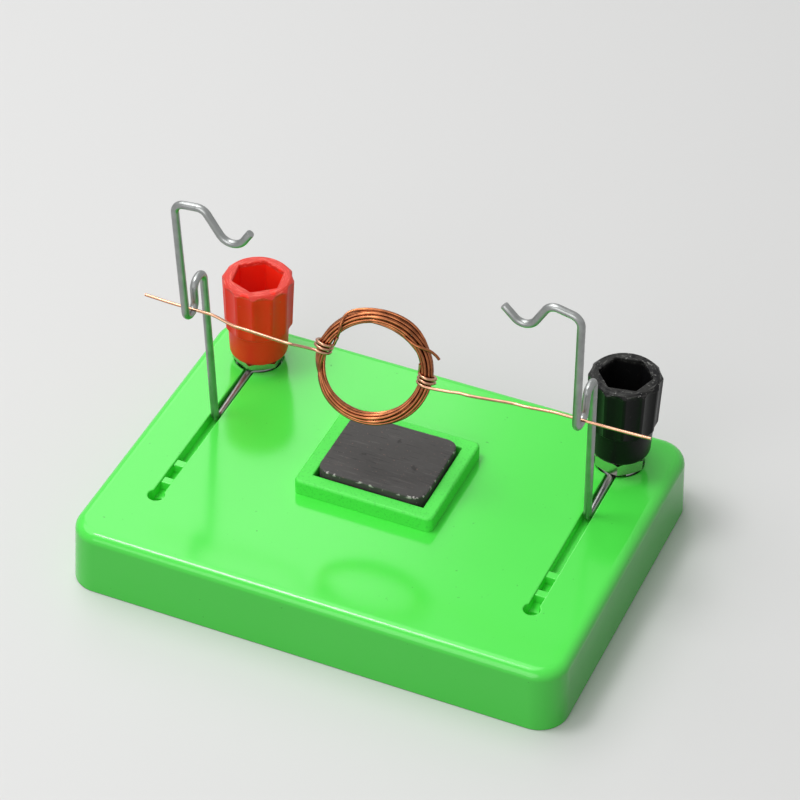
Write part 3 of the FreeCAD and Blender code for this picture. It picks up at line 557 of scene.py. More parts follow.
for out in (-1, 1):
    x = out * POST_X
    join(base, box_block("channel", x - 2.65, x + 2.65, -24, POST_Y, BOSS_UNDER, IN_PLATE))
    boss = [(6.9, BOSS_UNDER), (7.2, BOSS_UNDER + 0.3), (7.2, IN_PLATE)]
    join(base, turned("boss", boss, x, POST_Y, 64))
    cup = [(3.05, BOSS_UNDER), (3.25, BOSS_UNDER + 0.2), (3.25, IN_PLATE)]
    join(base, turned("keyhole_wall", cup, x, KEYHOLE_Y, 48))
measure(base)

# %% [markdown]
# Each groove is one long cut with a soft mouth. It ends in a round keyhole at the front and in the
# recess of the post at the back. Two small blocks with soft tops then bridge it.

# %% Grooves, keyholes, recesses and post holes
LIP = 0.22
GROOVE_HALF, GROOVE_FLOOR, GROOVE_BACK = 1.15, HEIGHT - 2.5, 25.2
BRIDGE_HALF, BRIDGE_TOP = 0.95, HEIGHT - 0.4


def bridge_block(x, y):
    """A short wall across the groove, its two upper edges across the groove made soft."""
    piece = box_block("bridge", x - GROOVE_HALF - 0.1, x + GROOVE_HALF + 0.1,
                      y - BRIDGE_HALF, y + BRIDGE_HALF, GROOVE_FLOOR - 0.2, BRIDGE_TOP)
    edit(piece)
    pick(piece, "EDGE", lambda m, e: m.z > BRIDGE_TOP - 0.01
         and abs(e.verts[0].co.y - e.verts[1].co.y) < 1e-6)
    round_off(0.2, 3)
    done()
    return piece


for out in (-1, 1):
    x = out * POST_X
    groove = box_cutter("groove", x - GROOVE_HALF, x + GROOVE_HALF, KEYHOLE_Y, GROOVE_BACK,
                        GROOVE_FLOOR, HEIGHT, LIP)
    cut(base, groove)
    cut(base, round_cutter("keyhole", x, KEYHOLE_Y, 1.75, HEIGHT - 3, HEIGHT, LIP, 40))
    cut(base, round_cutter("recess", x, POST_Y, 5.3, HEIGHT - 1.5, HEIGHT, LIP, 72))
    cut(base, turned("post_hole", [(3.2, 5), (3.2, HEIGHT + 1)], x, POST_Y, 48))
    for y in (-10.8, -16.8):
        join(base, bridge_block(x, y))
measure(base)

# %% [markdown]
# The large top face is drawn in by a hair's breadth all round. The narrow strips that this leaves
# beside each soft edge take up the change of the shading, so the plate itself stays flat.

# %% Hold the shading of the top
edit(base)
pick(base, "FACE", lambda m, f: f.normal.z > 0.9999 and abs(m.z - HEIGHT) < 0.005
     and f.calc_area() > 5e-6)
bpy.ops.mesh.inset(thickness=0.12 * MM, use_boundary=True)
done()
smooth(base)

# %% [markdown]
# The plate comes from a polished part of the mould, with a few dark specks of burnt plastic. The
# magnet's frame comes from a spark-eroded part, which leaves it duller and finely mottled. A mask by
# height parts the two.

# %% Two finishes on one moulding
MATT_ROUGHNESS = 0.55
add_marks(green, specks, (0.030, 0.46, 0.030), Scale=900, Share=-0.06)
matt = height_mask(green, HEIGHT + 0.1, HEIGHT + 0.3)
add_marks(green, specks, (0.056, 0.66, 0.056), matt, Scale=2300, Share=0.45)
green_tree = green["tree"]
eroded = math_node(green_tree, "MULTIPLY", matt, MATT_ROUGHNESS)
feed(green_tree, green["shader"], Roughness=math_node(green_tree, "MAXIMUM", green["roughness"], eroded))
dress(base, green, "base_plastic", "base", "base_shell")

# %% [markdown]
# ## The magnet
# A block of sintered ferrite, brittle and a little rough. Its edges are chipped where it was
# handled, so a narrow bevel is divided finely and pushed about with noise.

# %% Ferrite block
MAGNET_X, MAGNET_Y, MAGNET_TOP = (-12.9, 11.3), (-6.4, 14.0), 20.0
MIDDLE_X, MIDDLE_Y = sum(MAGNET_X) / 2, sum(MAGNET_Y) / 2
HALF_X, HALF_Y = 12.1, 10.2
CHIP_ZONE, CHIP_DEPTH = 0.7, 0.75
magnet = box_block("magnet_block", *MAGNET_X, *MAGNET_Y, HEIGHT, MAGNET_TOP)
edit(magnet)
pick(magnet, "EDGE", upright)
round_off(2.8, 10)
pick(magnet, "FACE", lambda m, f: f.normal.z > 0.9)
bpy.ops.mesh.inset(thickness=1.2 * MM)
pick(magnet, "EDGE", lambda m, e: m.z > MAGNET_TOP - 0.01 and min(f.normal.z for f in e.link_faces) < 0.5)
round_off(0.35, 3)
pick(magnet, "FACE", lambda m, f: m.z > MAGNET_TOP - 0.5
     and not (abs(m.x - MIDDLE_X) < 1 and abs(m.y - MIDDLE_Y) < 1))
bpy.ops.mesh.subdivide(number_cuts=3)
bpy.ops.mesh.select_all(action="DESELECT")
for vert in bmesh.from_edit_mesh(magnet.data).verts:
    place = vert.co / MM
    from_x, from_y = place.x - MIDDLE_X, place.y - MIDDLE_Y
    rim = min(abs(abs(from_x) - HALF_X), abs(abs(from_y) - HALF_Y))
    if place.z > MAGNET_TOP - CHIP_ZONE and rim < CHIP_ZONE:
        chip = max(0.0, noise.noise(place * 1.1) - 0.12) + 0.25 * max(0.0, noise.noise(place * 3.7))
        inward = Vector((-from_x / 12, -from_y / 10, -1.2)).normalized()
        vert.co += inward * chip * CHIP_DEPTH * MM * (1 - rim / CHIP_ZONE)
bmesh.update_edit_mesh(magnet.data)
done()
smooth(magnet, 40)

# %% [markdown]
# Its top was ground in one direction, which leaves faint light and dark streaks. Dark pores, a few
# rusty grains and pale dust lie on it, and the chips show fresh, paler grains along the edge.

# %% Marks on the ferrite
add_marks(ferrite, streaks, (0.078, 0.074, 0.070), Stretch=(1, 9, 1), Scale=160, Share=0.25)
add_marks(ferrite, streaks, (0.036, 0.034, 0.033), Stretch=(1, 12, 1), Scale=210, Share=0.25)
for colour, scale, share in (((0.028, 0.026, 0.025), 420, 0.05), ((0.15, 0.092, 0.080), 1500, 0.16),
                             ((0.20, 0.19, 0.18), 2600, 0.04)):
    add_marks(ferrite, specks, colour, Scale=scale, Share=share)
below_top = height_mask(ferrite, MAGNET_TOP - 0.01, MAGNET_TOP - 0.10)
near_top = height_mask(ferrite, MAGNET_TOP - 0.7, MAGNET_TOP - 0.4)
chipped = math_node(ferrite["tree"], "MULTIPLY", near_top, below_top)
add_marks(ferrite, specks, (0.42, 0.40, 0.38), chipped, Scale=900, Share=0.42)
dress(magnet, ferrite, "ferrite", "magnet", "magnet")

# %% [markdown]
# ## Binding posts
# The studs carry a real screw thread. One pitch of its outline is drawn as an edge chain and the
# Screw modifier winds it up the rod. Two bisect cuts close the ends, and a cone trims the tips. The
# chain starts a little off a whole turn, so that no cut falls exactly on its points.

# %% Threaded studs
PITCH, THREAD_ROOT, THREAD_CREST = 1.0, 2.46, 2.93
STEPS_PER_TURN = 28
STUD_UNDER = 4.6
START = -1.013 * PITCH


def stud(side, x, top):
    length = top - STUD_UNDER
    piece = add(bpy.ops.mesh.primitive_plane_add, f"{side}_stud", size=1 * MM)
    outline = [(THREAD_ROOT, 0), (THREAD_CREST, 0.40), (THREAD_CREST, 0.55), (THREAD_ROOT, 0.95),
               (THREAD_ROOT, 1)]
    edit(piece, "SELECT")
    bpy.ops.mesh.delete(type="VERT")
    mesh = bmesh.from_edit_mesh(piece.data)
    chain = [mesh.verts.new(mm(r, 0, START + z * PITCH)) for r, z in outline]
    for a, b in zip(chain, chain[1:]):
        mesh.edges.new((a, b))
    bmesh.update_edit_mesh(piece.data)
    done()
    apply_modifier(piece, "SCREW", axis="Z", angle=2 * math.pi, screw_offset=PITCH * MM,
                   iterations=int(length / PITCH) + 3, steps=STEPS_PER_TURN, render_steps=STEPS_PER_TURN,
                   use_smooth_shade=False)
    weld(piece)
    edit(piece)
    for level, up in ((0.0, False), (length, True)):
        bpy.ops.mesh.select_all(action="SELECT")
        bpy.ops.mesh.bisect(plane_co=mm(0, 0, level), plane_no=(0, 0, 1), use_fill=True,
                            clear_outer=up, clear_inner=not up, threshold=0.0001 * MM)
    face_outward()
    cones = [(2.3, -0.001), (3.1, 0.7), (3.1, length - 0.7), (2.3, length + 0.001)]
    combine(piece, turned("tip", cones, sides=56), "INTERSECT")
    piece.data.transform(Matrix.Translation(mm(x, POST_Y, STUD_UNDER)))
    smooth(piece, 25)
    dress(piece, nickel, "plated_brass", "base", f"{side}_post_stud")


stud("left", -POST_X, 26.84)
stud("right", POST_X, 28.24)

# %% [markdown]
# A nut is a hexagonal bar with both ends turned down to a cone, so a six-sided cylinder is
# intersected with a turned blank that has those cones, and the bore is cut with soft mouths.

# %% Hexagonal nuts
FLATS = 10.0
FLATS_TO_CORNERS = 1 / math.cos(math.pi / 6)
NUT_CONE, NUT_FACE, NUT_CORNER = 0.42, 4.75, 5.85
THREAD_HOLE = 3.0
CLAMP_UNDER, LOWER_UNDER = 15.24, 6.0
NUT_TURN = {"left": math.radians(-88), "right": math.radians(-75)}


def hexagon(name, x, y, z0, z1, turn):
    """A six-sided bar, FLATS wide; at turn 0 a corner points along X."""
    return add(bpy.ops.mesh.primitive_cylinder_add, name, vertices=6,
               radius=FLATS / 2 * FLATS_TO_CORNERS * MM, depth=(z1 - z0) * MM,
               location=mm(x, y, (z0 + z1) / 2), rotation=(0, 0, turn - math.pi / 2))


def bore(x, z0, z1, mouth):
    """A cutter for a threaded hole with a countersunk mouth at both ends."""
    ends = [(mouth, z0 - 0.3), (THREAD_HOLE, z0 + 0.3), (THREAD_HOLE, z1 - 0.3), (mouth, z1 + 0.3)]
    return turned("bore", ends, x, POST_Y, 48)


def nut(side, place, z0, thick):
    x = -POST_X if side == "left" else POST_X
    z1 = z0 + thick
    piece = hexagon(f"{side}_{place}_hexnut", x, POST_Y, z0, z1, NUT_TURN[side])
    blank = [(NUT_FACE, z0), (NUT_CORNER, z0 + NUT_CONE), (NUT_CORNER, z1 - NUT_CONE), (NUT_FACE, z1)]
    combine(piece, turned("blank", blank, x, POST_Y, 96), "INTERSECT")
    cut(piece, bore(x, z0, z1, 3.45))
    smooth(piece, 20)
    dress(piece, nickel, "plated_brass", "base", f"{side}_{place}_nut")


nut("left", "clamp", CLAMP_UNDER, 1.8)
nut("right", "clamp", CLAMP_UNDER, 3.2)
nut("left", "lower", LOWER_UNDER, 5.0)
nut("right", "lower", LOWER_UNDER, 5.0)

# %% [markdown]
# ## The knobs
# Each knob is a moulded plastic cap with twelve shallow flutes, a sloping shoulder below them, a
# round foot, and a hexagonal socket from above. A turned blank gives the shoulder, foot and rim. A
# fluted tool is made from a circle of 144 points, whose points of equal place in their flute are
# drawn in together, and the two are intersected.

# %% Fluted tool
KNOB_HEIGHT, KNOB_TOP, KNOB_WAIST = 20.1, 7.85, 7.40
KNOB_NECK, KNOB_FOOT, FOOT_ROUND = 6.60, 6.35, 1.25
FLUTE_UNDER, FLUTE_RADIUS, FLUTE_DEPTH = 7.3, 4.9, 0.52
FLUTE_FROM_CORNER, FLUTE_STEP, WIDE_FOOT = 22.6, 2.5, 1.4


def from_flute(m):
    """Degrees from the middle of the nearest of the twelve flutes."""
    return abs((math.degrees(math.atan2(m.y, m.x)) + 15) % 30 - 15)


def flute_reach(place):
    """Distance from the axis to the flute's surface at an angle from the flute's middle."""
    centre = KNOB_TOP - FLUTE_DEPTH + FLUTE_RADIUS
    across = centre * math.sin(place)
    return min(KNOB_TOP, centre * math.cos(place) - math.sqrt(FLUTE_RADIUS**2 - across**2))


def fluted_tool():
    tool = add(bpy.ops.mesh.primitive_circle_add, "fluted_tool", vertices=144, radius=KNOB_TOP * MM,
               fill_type="NGON", location=mm(0, 0, -1))
    edit(tool)
    for step in range(7):
        pick(tool, "VERT", lambda m, v: abs(from_flute(m) - FLUTE_STEP * step) < 0.6)
        share = flute_reach(math.radians(FLUTE_STEP * step)) / KNOB_TOP
        bpy.ops.transform.resize(value=(share, share, 1), center_override=mm(0, 0, -1))
    bpy.ops.mesh.select_mode(type="FACE")
    bpy.ops.mesh.select_all(action="SELECT")
    waist = KNOB_WAIST / KNOB_TOP
    bpy.ops.transform.resize(value=(WIDE_FOOT, WIDE_FOOT, 1), center_override=mm(0, 0, -1))
    grow(tool, FLUTE_UNDER + 0.95, 1, 1, mm(0, 0, FLUTE_UNDER))
    bpy.ops.mesh.extrude_region_move()
    bpy.ops.transform.resize(value=(waist / WIDE_FOOT, waist / WIDE_FOOT, 1),
                             center_override=mm(0, 0, FLUTE_UNDER))
    grow(tool, KNOB_HEIGHT - FLUTE_UNDER + 0.55, 1.003 / waist, 1.003 / waist, mm(0, 0, KNOB_HEIGHT))
    face_outward()
    tool.data.transform(Matrix.Rotation(math.radians(FLUTE_FROM_CORNER), 4, "Z"))
    return tool


# %% [markdown]
# The socket's cutter is a hexagonal bar with a flaring mouth. Below the socket the blank is bored for
# the sleeve and the stud.

# %% Socket cutter and grip
SOCKET_DEPTH, SOCKET_LIP = 12.0, 0.3


def socket_cutter():
    """Hexagonal cutter with slightly rounded corners and a soft mouth."""
    cutter = hexagon("socket", 0, 0, KNOB_HEIGHT - SOCKET_DEPTH, KNOB_HEIGHT - SOCKET_LIP, 0)
    edit(cutter)
    pick(cutter, "EDGE", upright)
    round_off(0.35, 3)
    pick(cutter, "FACE", lambda m, f: f.normal.z > 0.9)
    flare(cutter, FLATS / 2, FLATS / 2, SOCKET_LIP, mm(0, 0, KNOB_HEIGHT))
    return cutter


def model_knob():
    """The grip about the origin, its foot at height 0 and a corner of its socket along X."""
    turns = [math.pi / 2 * i / 7 for i in range(8)]
    profile = [(KNOB_FOOT - FOOT_ROUND * (1 - math.sin(turn)), FOOT_ROUND * (1 - math.cos(turn)))
               for turn in turns]
    wide = 0.7
    profile += [(KNOB_NECK, FLUTE_UNDER - 0.15), (KNOB_NECK + 0.12, FLUTE_UNDER),
                (KNOB_WAIST + wide, FLUTE_UNDER + 0.8 + wide), (KNOB_TOP + wide, KNOB_HEIGHT - 0.9 - wide),
                (KNOB_TOP - 0.78, KNOB_HEIGHT - 0.12), (KNOB_TOP - 0.92, KNOB_HEIGHT - 0.03),
                (KNOB_TOP - 1.1, KNOB_HEIGHT)]
    knob = turned("knob_form", profile, sides=144)
    combine(knob, fluted_tool(), "INTERSECT")
    cut(knob, socket_cutter())
    cut(knob, turned("seat", [(4.35, 2.05), (4.35, 9)], sides=64))
    cut(knob, turned("hole", [(3.2, -1), (3.2, 3)], sides=48))
    smooth(knob, 24)
    return knob


knob_model = model_knob()
measure(knob_model)

# %% [markdown]
# Both knobs are worn on their rims, where plugs and fingers rub them: the black one is grey and
# dusty there, and the red one is scuffed to a paler tone. Masks by height keep most of it to the rim.

# %% Wear on the rims
dusty = height_mask(black, 37.3, 38.4)
add_marks(black, specks, (0.022, 0.022, 0.021), dusty, Scale=500, Share=0.9)
add_marks(black, rings, (0.085, 0.085, 0.080), dusty, Axis=mm(POST_X, POST_Y, 0), Share=0.30)
add_marks(black, specks, (0.22, 0.22, 0.21), dusty, Scale=1900, Share=0.22)
add_marks(black, specks, (0.030, 0.030, 0.030), Scale=1200, Share=0.04)
scuffed = height_mask(red, 36.0, 36.5)
add_marks(red, specks, (0.68, 0.046, 0.029), scuffed, Scale=260, Share=1.2)
add_marks(red, rings, (0.84, 0.13, 0.095), scuffed, Axis=mm(-POST_X, POST_Y, 0), Share=0.42)
add_marks(red, specks, (0.90, 0.07, 0.04), Scale=700, Share=0.10)
print("marks on both knobs")

# %% [markdown]
# The red and the black knob are copies of that one model, each with its own mesh, turned as it
# was left when it was last screwed down.

# %% Place the two knobs
SOCKET_TURN = {"red": -20.5, "black": 11.5}
KNOB_UNDER = {"red": 17.14, "black": 18.54}


def place_knob(colour, x, finish):
    piece = put(f"{colour}_grip", knob_model.data.copy())
    turn = Matrix.Rotation(math.radians(SOCKET_TURN[colour]), 4, "Z")
    piece.data.transform(Matrix.Translation(mm(x, POST_Y, KNOB_UNDER[colour])) @ turn)
    dress(piece, finish, f"{colour}_plastic", f"{colour}_knob", f"{colour}_knob")


place_knob("red", -POST_X, red)
place_knob("black", POST_X, black)
bpy.data.objects.remove(knob_model)

# %% [markdown]
# A threaded brass sleeve sits in the floor of each socket. It is turned, with soft edges and a
# countersunk bore.

# %% Threaded inserts
SLEEVE_UNDER, SLEEVE_LENGTH = 2.1, 6.0


def insert(colour, x):
    z0 = KNOB_UNDER[colour] + SLEEVE_UNDER
    z1 = z0 + SLEEVE_LENGTH
    profile = [(4.05, z0), (4.3, z0 + 0.25), (4.3, z1 - 0.25), (4.05, z1)]
    piece = turned(f"{colour}_insert_sleeve", profile, x, POST_Y, 72)
    cut(piece, bore(x, z0, z1, 3.6))
    smooth(piece)
    dress(piece, brass, "insert_brass", f"{colour}_insert", f"{colour}_knob_insert")


insert("red", -POST_X)
insert("black", POST_X)

# %% [markdown]
# ## The wire brackets
# A bracket is bent by hand from one length of galvanised wire. It is modelled in the same way: a
# round end face is extruded along each straight run, and each bend is a spin about the bend's own
# centre. The bend centres follow from the corners of the wire and the bend radii.

# %% Bend a wire
WIRE, WIRE_SIDES, BEND_STEP = 1.7, 20, math.radians(7)
UP = Vector((0, 0, 1))


def bend_wire(name, middle, angle, corners, radii):
    """A round wire: an eye about a middle, then corners, each inner one rounded by its radius."""
    points = [Vector(corner) for corner in corners]
    first = middle + Quaternion(UP, -angle) @ (points[0] - middle)
    heading = UP.cross(first - middle) * math.copysign(1, angle)
    piece = add(bpy.ops.mesh.primitive_circle_add, name, vertices=WIRE_SIDES, radius=WIRE / 2 * MM,
                fill_type="NGON", location=first * MM, rotation=heading.to_track_quat("Z", "Y").to_euler())
    edit(piece, "SELECT")

    def straight(start, end):
        bpy.ops.mesh.extrude_region_move(TRANSFORM_OT_translate={"value": (end - start) * MM})

    def bend(centre, axis, by):
        steps = max(2, math.ceil(abs(by) / BEND_STEP))
        bpy.ops.mesh.spin(steps=steps, angle=-by, center=centre * MM, axis=axis)

    bend(middle, UP, angle)
    here = points[0]
    for before, corner, after, radius in zip(points, points[1:], points[2:], radii):
        back, ahead = (before - corner).normalized(), (after - corner).normalized()
        half = (math.pi - back.angle(ahead)) / 2
        straight(here, corner + back * radius * math.tan(half))
        centre = corner + (back + ahead).normalized() * radius / math.cos(half)
        bend(centre, ahead.cross(back).normalized(), 2 * half)
        here = corner + ahead * radius * math.tan(half)
    straight(here, points[-1])
    bpy.ops.mesh.select_all(action="SELECT")
    bpy.ops.mesh.remove_doubles(threshold=0.0005 * MM)
    bpy.ops.mesh.normals_make_consistent(inside=False)
    pick(piece, "EDGE", lambda m, e: any(len(f.verts) > 4 for f in e.link_faces))
    round_off(0.12, 2)
    done()
    return piece


# %% [markdown]
# The two brackets are alike but not equal, since each was bent by hand: the left one leans out,
# and the hooks and notches differ a little. The corners below are the wire's middle line.

# %% Two brackets
EYE_RADIUS, EYE_Z, FOOT_Z = 4.0, 14.39, 13.39
EYE_END, EYE_ARC = math.radians(235), math.radians(235 + 52)
HAIRPIN = 0.93
NOTCH_FLOOR, ARCH_TOP = 46.2, 52.5
BRACKETS = {
    "left": {"lean": 3.8, "foot": 6.0, "arch": (7.0, 2.5), "notch": (2.2, -2.0), "hook_y": -2.1,
             "leg_top": 75.3, "crest": (6.6, 75.9), "dip": (12.3, 66.5), "tip": (16.8, 73.0),
             "bends": (2.2, 2.5, 3.2)},
    "right": {"lean": 0.0, "foot": 9.1, "arch": (7.2, 3.6), "notch": (2.5, -2.0), "hook_y": -2.8,
              "leg_top": 74.9, "crest": (6.6, 76.3), "dip": (11.2, 68.4), "tip": (16.2, 73.2),
              "bends": (2.5, 2.5, 2.8)},
}


def bracket(side, out):
    shape = BRACKETS[side]
    lean = math.tan(math.radians(shape["lean"]))

    def at(inward, y, z, leaning=True):
        shift = (z - FOOT_Z) * lean if leaning else 0
        return out * (POST_X - inward + shift), y, z

    leave_y = POST_Y + EYE_RADIUS * math.sin(EYE_END)
    run = EYE_RADIUS * math.cos(EYE_END) / math.sin(EYE_END)
    upright_part = [(shape["foot"], FOOT_Z), *((y, ARCH_TOP) for y in shape["arch"]),
                    *((y, NOTCH_FLOOR) for y in shape["notch"])]
    hook = [(0, shape["leg_top"]), shape["crest"], shape["dip"], shape["tip"]]
    corners = [(out * (POST_X + EYE_RADIUS * math.cos(EYE_END)), leave_y, EYE_Z),
               at(0, leave_y + run * math.cos(EYE_END), EYE_Z, False)]
    corners += [at(0, y, z) for y, z in upright_part]
    corners += [at(inward, shape["hook_y"], z) for inward, z in hook]
    arch, notch = ((shape[part][0] - shape[part][1]) / 2 * HAIRPIN for part in ("arch", "notch"))
    radii = [1.7, 2.2, arch, arch, notch, notch, *shape["bends"]]
    middle = Vector((out * POST_X, POST_Y, EYE_Z))
    piece = bend_wire(f"{side}_bent_wire", middle, out * EYE_ARC, corners, radii)
    smooth(piece, 35, weighted=False)
    dress(piece, galvanised, "wire_steel", "base", f"{side}_bracket")


bracket("left", -1)
bracket("right", 1)

# %% [markdown]
# ## The coil
# The winding is one long enamelled wire laid round and round by hand, so its turns wander, cross
# and fan out. A smooth NURBS curve with a round bevel follows that path: twelve places in the
# bundle, visited one after another, with the bundle twisting and opening on its way round.

# %% Path of the winding
AXLE = 47.525
COIL_CENTRE = Vector((-2.8, 0, AXLE - 1.8))
COIL_TURN = Matrix.Rotation(math.radians(12), 3, "Z") @ Matrix.Rotation(math.radians(90 - 19.4), 3, "X")
COIL_RADIUS, COPPER = 11.1, 0.66


def coil_place(degrees, outward, forward):
    """A point by its angle round the coil and its offset in the bundle's section."""
    angle = math.radians(degrees)
    spoke = COIL_TURN @ Vector((math.cos(angle), math.sin(angle), 0))
    return COIL_CENTRE + spoke * (COIL_RADIUS + outward) + COIL_TURN @ Vector((0, 0, forward))


def near(degrees, middle, width):
    """1 at one angle round the coil, fading to almost 0 two widths away."""
    return math.exp(-(((degrees % 360 - middle + 180) % 360 - 180) / width) ** 2)


def bundle_size(degrees):
    """How far the bundle opens, as a share of its tight size, round the coil."""
    return 1.0 + 0.16 * near(degrees, 62, 34) + 0.10 * near(degrees, 310, 40) - 0.20 * near(degrees, 200, 45)


def ring_of_places(radius, angles):
    return [Vector((radius * math.cos(a), radius * math.sin(a))) for a in angles]


places = ring_of_places(0.42, (0.3, 2.4, 4.5))
places += ring_of_places(1.03, [2 * math.pi * i / 9 + 0.2 for i in (0, 4, 8, 3, 7, 2, 6, 1, 5)])
STEP, FIRST, CHANGE_FROM = 10, 162, 300
points = []
for turn, place in enumerate(places):
    next_place = places[min(turn + 1, len(places) - 1)]
    for k in range(0, 360, STEP):
        degrees = FIRST - k
        share = max(0.0, (k - CHANGE_FROM) / (360 - CHANGE_FROM))
        spot = place.lerp(next_place, share * share * (3 - 2 * share))
        twist = 0.45 * math.sin(math.radians(k)) + 0.25 * math.sin(math.radians(2 * k + 40))
        wander = Vector((noise.noise((turn * 7.3, k * 0.013, 0)), noise.noise((0, turn * 5.1, k * 0.017))))
        spot = Matrix.Rotation(twist, 2) @ (spot * bundle_size(degrees)) + wander * 0.16
        inner = -0.35 * (bundle_size(degrees) - 1) / 0.3
        points.append(coil_place(degrees, spot.x + inner, spot.y))
print("path of the winding:", len(points), "points")

# %% [markdown]
# A curve with a bevel is the tool for thin wire on a free path. It is made a mesh at once, so the
# finished piece is an ordinary solid.

# %% A wire along a smooth path


def laid_wire(name, points, diameter, resolution=3, sections=3):
    """A closed round wire along a smooth curve, made a mesh."""
    curve = bpy.data.curves.new(name, "CURVE")
    curve.dimensions = "3D"
    curve.bevel_depth = diameter / 2 * MM
    curve.bevel_resolution = sections
    curve.use_fill_caps = True
    spline = curve.splines.new("NURBS")
    spline.points.add(len(points) - 1)
    for target, source in zip(spline.points, points):
        target.co = (*(source * MM), 1)
    spline.order_u = 4
    spline.use_endpoint_u = True
    spline.resolution_u = resolution
    only(put(name, curve))
    bpy.ops.object.convert(target="MESH")
    piece = bpy.context.object
    edit(piece, "SELECT")
    bpy.ops.mesh.remove_doubles(threshold=0.0005 * MM)
    face_outward()
    return piece


winding = laid_wire("coil_turns", points, COPPER)
measure(winding)

# %% [markdown]
# Three single turns have come away from the bundle: one loops over it at the upper left, one has
# slipped inwards at the top, and the last sticks out at the right with its end free. Each is a
# short wire through places given by angle, offset outward and offset to the front.

# %% Loose strands
STRANDS = {
    "looped_turn": [(149, -1.35, 0.2), (142, -1.3, 1.0), (135, -0.7, 1.7), (129, 0.4, 1.8), (123, 1.4, 1.2),
                    (117, 1.8, 0.6), (108, 1.7, 0.2), (97, 1.5, 0.1), (84, 1.45, 0.0), (70, 1.55, 0.0),
                    (57, 1.7, 0.1), (45, 1.6, 0.1), (34, 1.25, 0.0), (24, 0.9, -0.3)],
    "inner_turn": [(104, -0.7, 0.4), (92, -1.15, 0.5), (80, -1.4, 0.5), (68, -1.5, 0.5), (56, -1.5, 0.4),
                   (44, -1.4, 0.3), (32, -1.2, 0.2), (20, -0.8, 0.0)],
    "loose_turn": [(66, -1.0, 0.0), (56, -1.3, 0.7), (47, -1.15, 1.3), (40, -0.6, 1.75), (34.5, 0.2, 1.85),
                   (30, 1.0, 1.6), (26, 1.75, 1.1), (21, 2.3, 0.7), (18, 2.6, 0.5), (16, 2.75, 0.45)],
}
smooth(winding, 40, weighted=False)
strands = []
for name, path in STRANDS.items():
    strand = laid_wire(name, [coil_place(*spot) for spot in path], COPPER * 0.95, 6)
    smooth(strand, 40, weighted=False)
    strands.append(strand)
only(winding)
for strand in strands:
    strand.select_set(True)
bpy.ops.object.join()
dress(winding, copper, "copper", "rotor", "coil_winding")

# %% [markdown]
# Each end of the wire binds the bundle, twice round and a little more, and runs to its bracket, where
# its enamel is scraped off. Binding and lead are one wire, so they are one path: a helix round the
# bundle that leaves along the axle.

# %% Bindings and axle leads
LEADS = {
    "left": {"at": 162, "last_pass": -1.1, "bends": [(-22.0, -0.6, -1.3), (-33.0, 0.0, -1.4)],
             "notch": -44.18, "tip": -54.6},
    "right": {"at": -8, "last_pass": -0.35, "bends": [(17.0, 1.0, -2.9), (29.0, 0.2, -0.9)],
              "notch": 42.0, "tip": 57.0},
}
HELIX_RADIUS, HELIX_PITCH, HELIX_TURNS, HELIX_STEPS = 1.80, 0.88, 2.25, 16


def lead(side, out):
    facts = LEADS[side]
    angle = math.radians(facts["at"])
    spoke = COIL_TURN @ Vector((math.cos(angle), math.sin(angle), 0))
    along = COIL_TURN @ Vector((-math.sin(angle), math.cos(angle), 0))
    front = COIL_TURN @ Vector((0, 0, 1))
    middle = coil_place(facts["at"], 0, 0)
    start = facts["last_pass"] + HELIX_TURNS * HELIX_PITCH
    path = [middle + along * out * (start + beyond) - spoke * inside + front * forward
            for beyond, inside, forward in ((2.2, 1.95, 0.95), (1.5, 1.85, 0.75), (0.6, 1.80, 0.35))]
    for i in range(int(HELIX_TURNS * HELIX_STEPS) + 1):
        turned_by = i / HELIX_STEPS
        turn = math.pi / 2 + 2 * math.pi * (HELIX_TURNS - turned_by)
        round_bundle = (spoke * math.cos(turn) + front * math.sin(turn)) * HELIX_RADIUS
        path.append(middle + round_bundle + along * out * (start - turned_by * HELIX_PITCH))
    bends = [Vector((x, y, AXLE + rise)) for x, y, rise in facts["bends"]]
    notch, tip = (Vector((facts[part], 0, AXLE)) for part in ("notch", "tip"))
    leaving = path[-1] + spoke * 1.3
    path += [leaving, leaving.lerp(bends[0], 0.3), leaving.lerp(bends[0], 0.65)]
    stops = [(bend, step, 0) for bend in bends for step in (-1.6, 0, 1.6)]
    stops += [(notch, step, 0) for step in (-5.5, -4, -2, 0, 2, 4)]
    stops += [(tip, -4, 0.12), (tip, -1.5, 0.24), (tip, 0, 0.3)]
    path += [place + Vector((out * step, 0, rise)) for place, step, rise in stops]
    piece = laid_wire(f"{side}_lead_wire", path, COPPER, 6, 4)
    smooth(piece, 40, weighted=False)
    dress(piece, bare_copper, "copper", "rotor", f"{side}_binding", f"{side}_axle_lead")


lead("left", -1)
lead("right", 1)

# %% [markdown]
# ## Floor, light and camera
# The motor stands on a plain pale floor. The floor and the sky have one value where they are seen,
# straight or mirrored, and a lower one for the light that they give back, so that the ground stays
# pale and the sides of the motor keep their shade.

# %% Floor
FLOOR_LIGHT, FLOOR_SEEN = (0.10, 0.10, 0.10), (0.64, 0.64, 0.635)


def is_seen(tree):
    """1 for the rays that show a thing itself: straight, mirrored, or through clear matter."""
    rays = tree.nodes.new("ShaderNodeLightPath")
    seen = rays.outputs["Is Camera Ray"]
    for kind in ("Is Glossy Ray", "Is Transmission Ray"):
        seen = math_node(tree, "MAXIMUM", seen, rays.outputs[kind])
    return seen


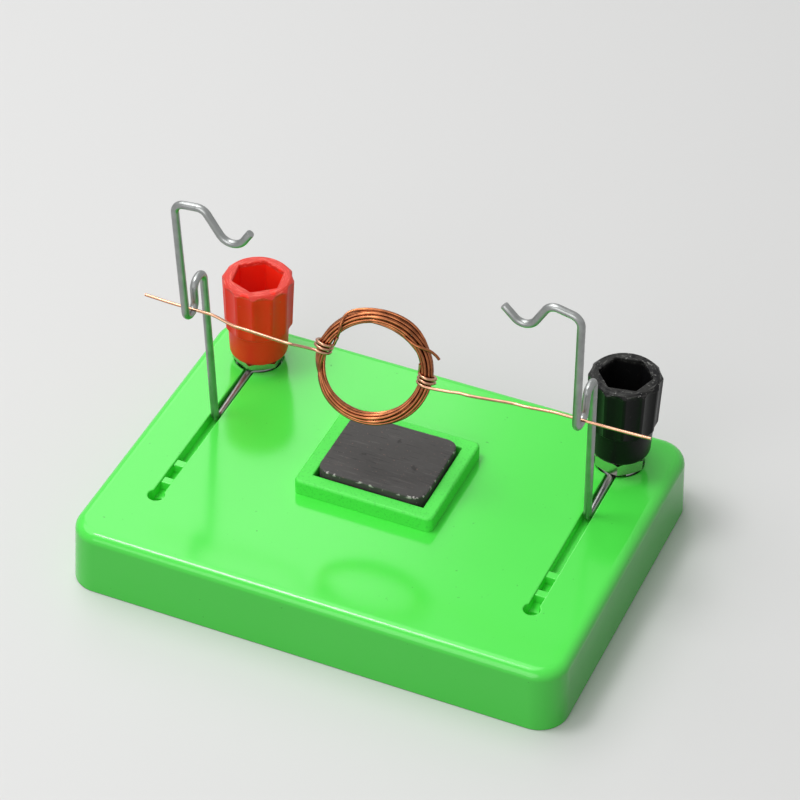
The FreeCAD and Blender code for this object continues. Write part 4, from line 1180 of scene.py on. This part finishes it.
floor = add(bpy.ops.mesh.primitive_plane_add, "floor", size=6)
floor_material = bpy.data.materials.new("pale_floor")
floor_material.use_nodes = True
floor_tree = floor_material.node_tree
floor_colour = mix_colours(floor_tree, is_seen(floor_tree), FLOOR_LIGHT, FLOOR_SEEN)
feed(floor_tree, floor_tree.nodes["Principled BSDF"], Base_Color=floor_colour, Roughness=0.7)
floor.data.materials.append(floor_material)
print("floor size, m:", tuple(floor.dimensions[:2]))

# %% [markdown]
# The light is soft. A broad lamp hangs high on the left, and a small one beside it draws the sharper
# shadows and the sparkle on the wire. A third fills the front, and a fourth lights the back edges.

# %% Lamps and sky
SKY_LIGHT, SKY_SEEN = 0.30, 0.80


def lamp(name, place, aim, size, power):
    data = bpy.data.lights.new(name, "AREA")
    data.shape, data.size, data.energy = "DISK", size, power
    body = put(name, data)
    body.location = mm(*place)
    body.rotation_euler = (mm(*aim) - body.location).to_track_quat("-Z", "Y").to_euler()


lamp("overhead", (-420, 40, 930), (0, 0, 10), 1.1, 6.5)
lamp("key", (-330, -120, 950), (0, 0, 20), 0.25, 2.6)
lamp("front", (-60, -900, 450), (0, 0, 20), 0.8, 3.5)
lamp("back", (-660, 980, 870), (0, 0, 10), 0.6, 1.7)

world = bpy.context.scene.world or bpy.data.worlds.new("studio")
bpy.context.scene.world = world
world.use_nodes = True
sky = world.node_tree
feed(sky, sky.nodes["Background"], Color=(1, 1, 1, 1),
     Strength=map_range(sky, is_seen(sky), 0, 1, SKY_LIGHT, SKY_SEEN))
print("lamps:", [light.name for light in bpy.data.lights])

# %% [markdown]
# The camera stands in front, a little to the right and well above the motor, with a long lens. It is
# tipped up from looking straight down, turned to the left, and leans by one degree.

# %% Camera
SENSOR, FOCAL_SHARE = 36.0, 3371 / 800
CAMERA_PLACE, CAMERA_TURN = (206.53, -489.89, 477.23), (50.447, -0.967, 23.345)
camera_data = bpy.data.cameras.new("camera")
camera_data.sensor_width = SENSOR
camera_data.lens = FOCAL_SHARE * SENSOR
camera_data.clip_start, camera_data.clip_end = 0.01, 20
camera = put("camera", camera_data)
camera.location = mm(*CAMERA_PLACE)
camera.rotation_euler = [math.radians(turn) for turn in CAMERA_TURN]
bpy.context.scene.camera = camera

bpy.context.scene.view_settings.view_transform = "Standard"

# %% The end
bpy.ops.object.select_all(action="DESELECT")
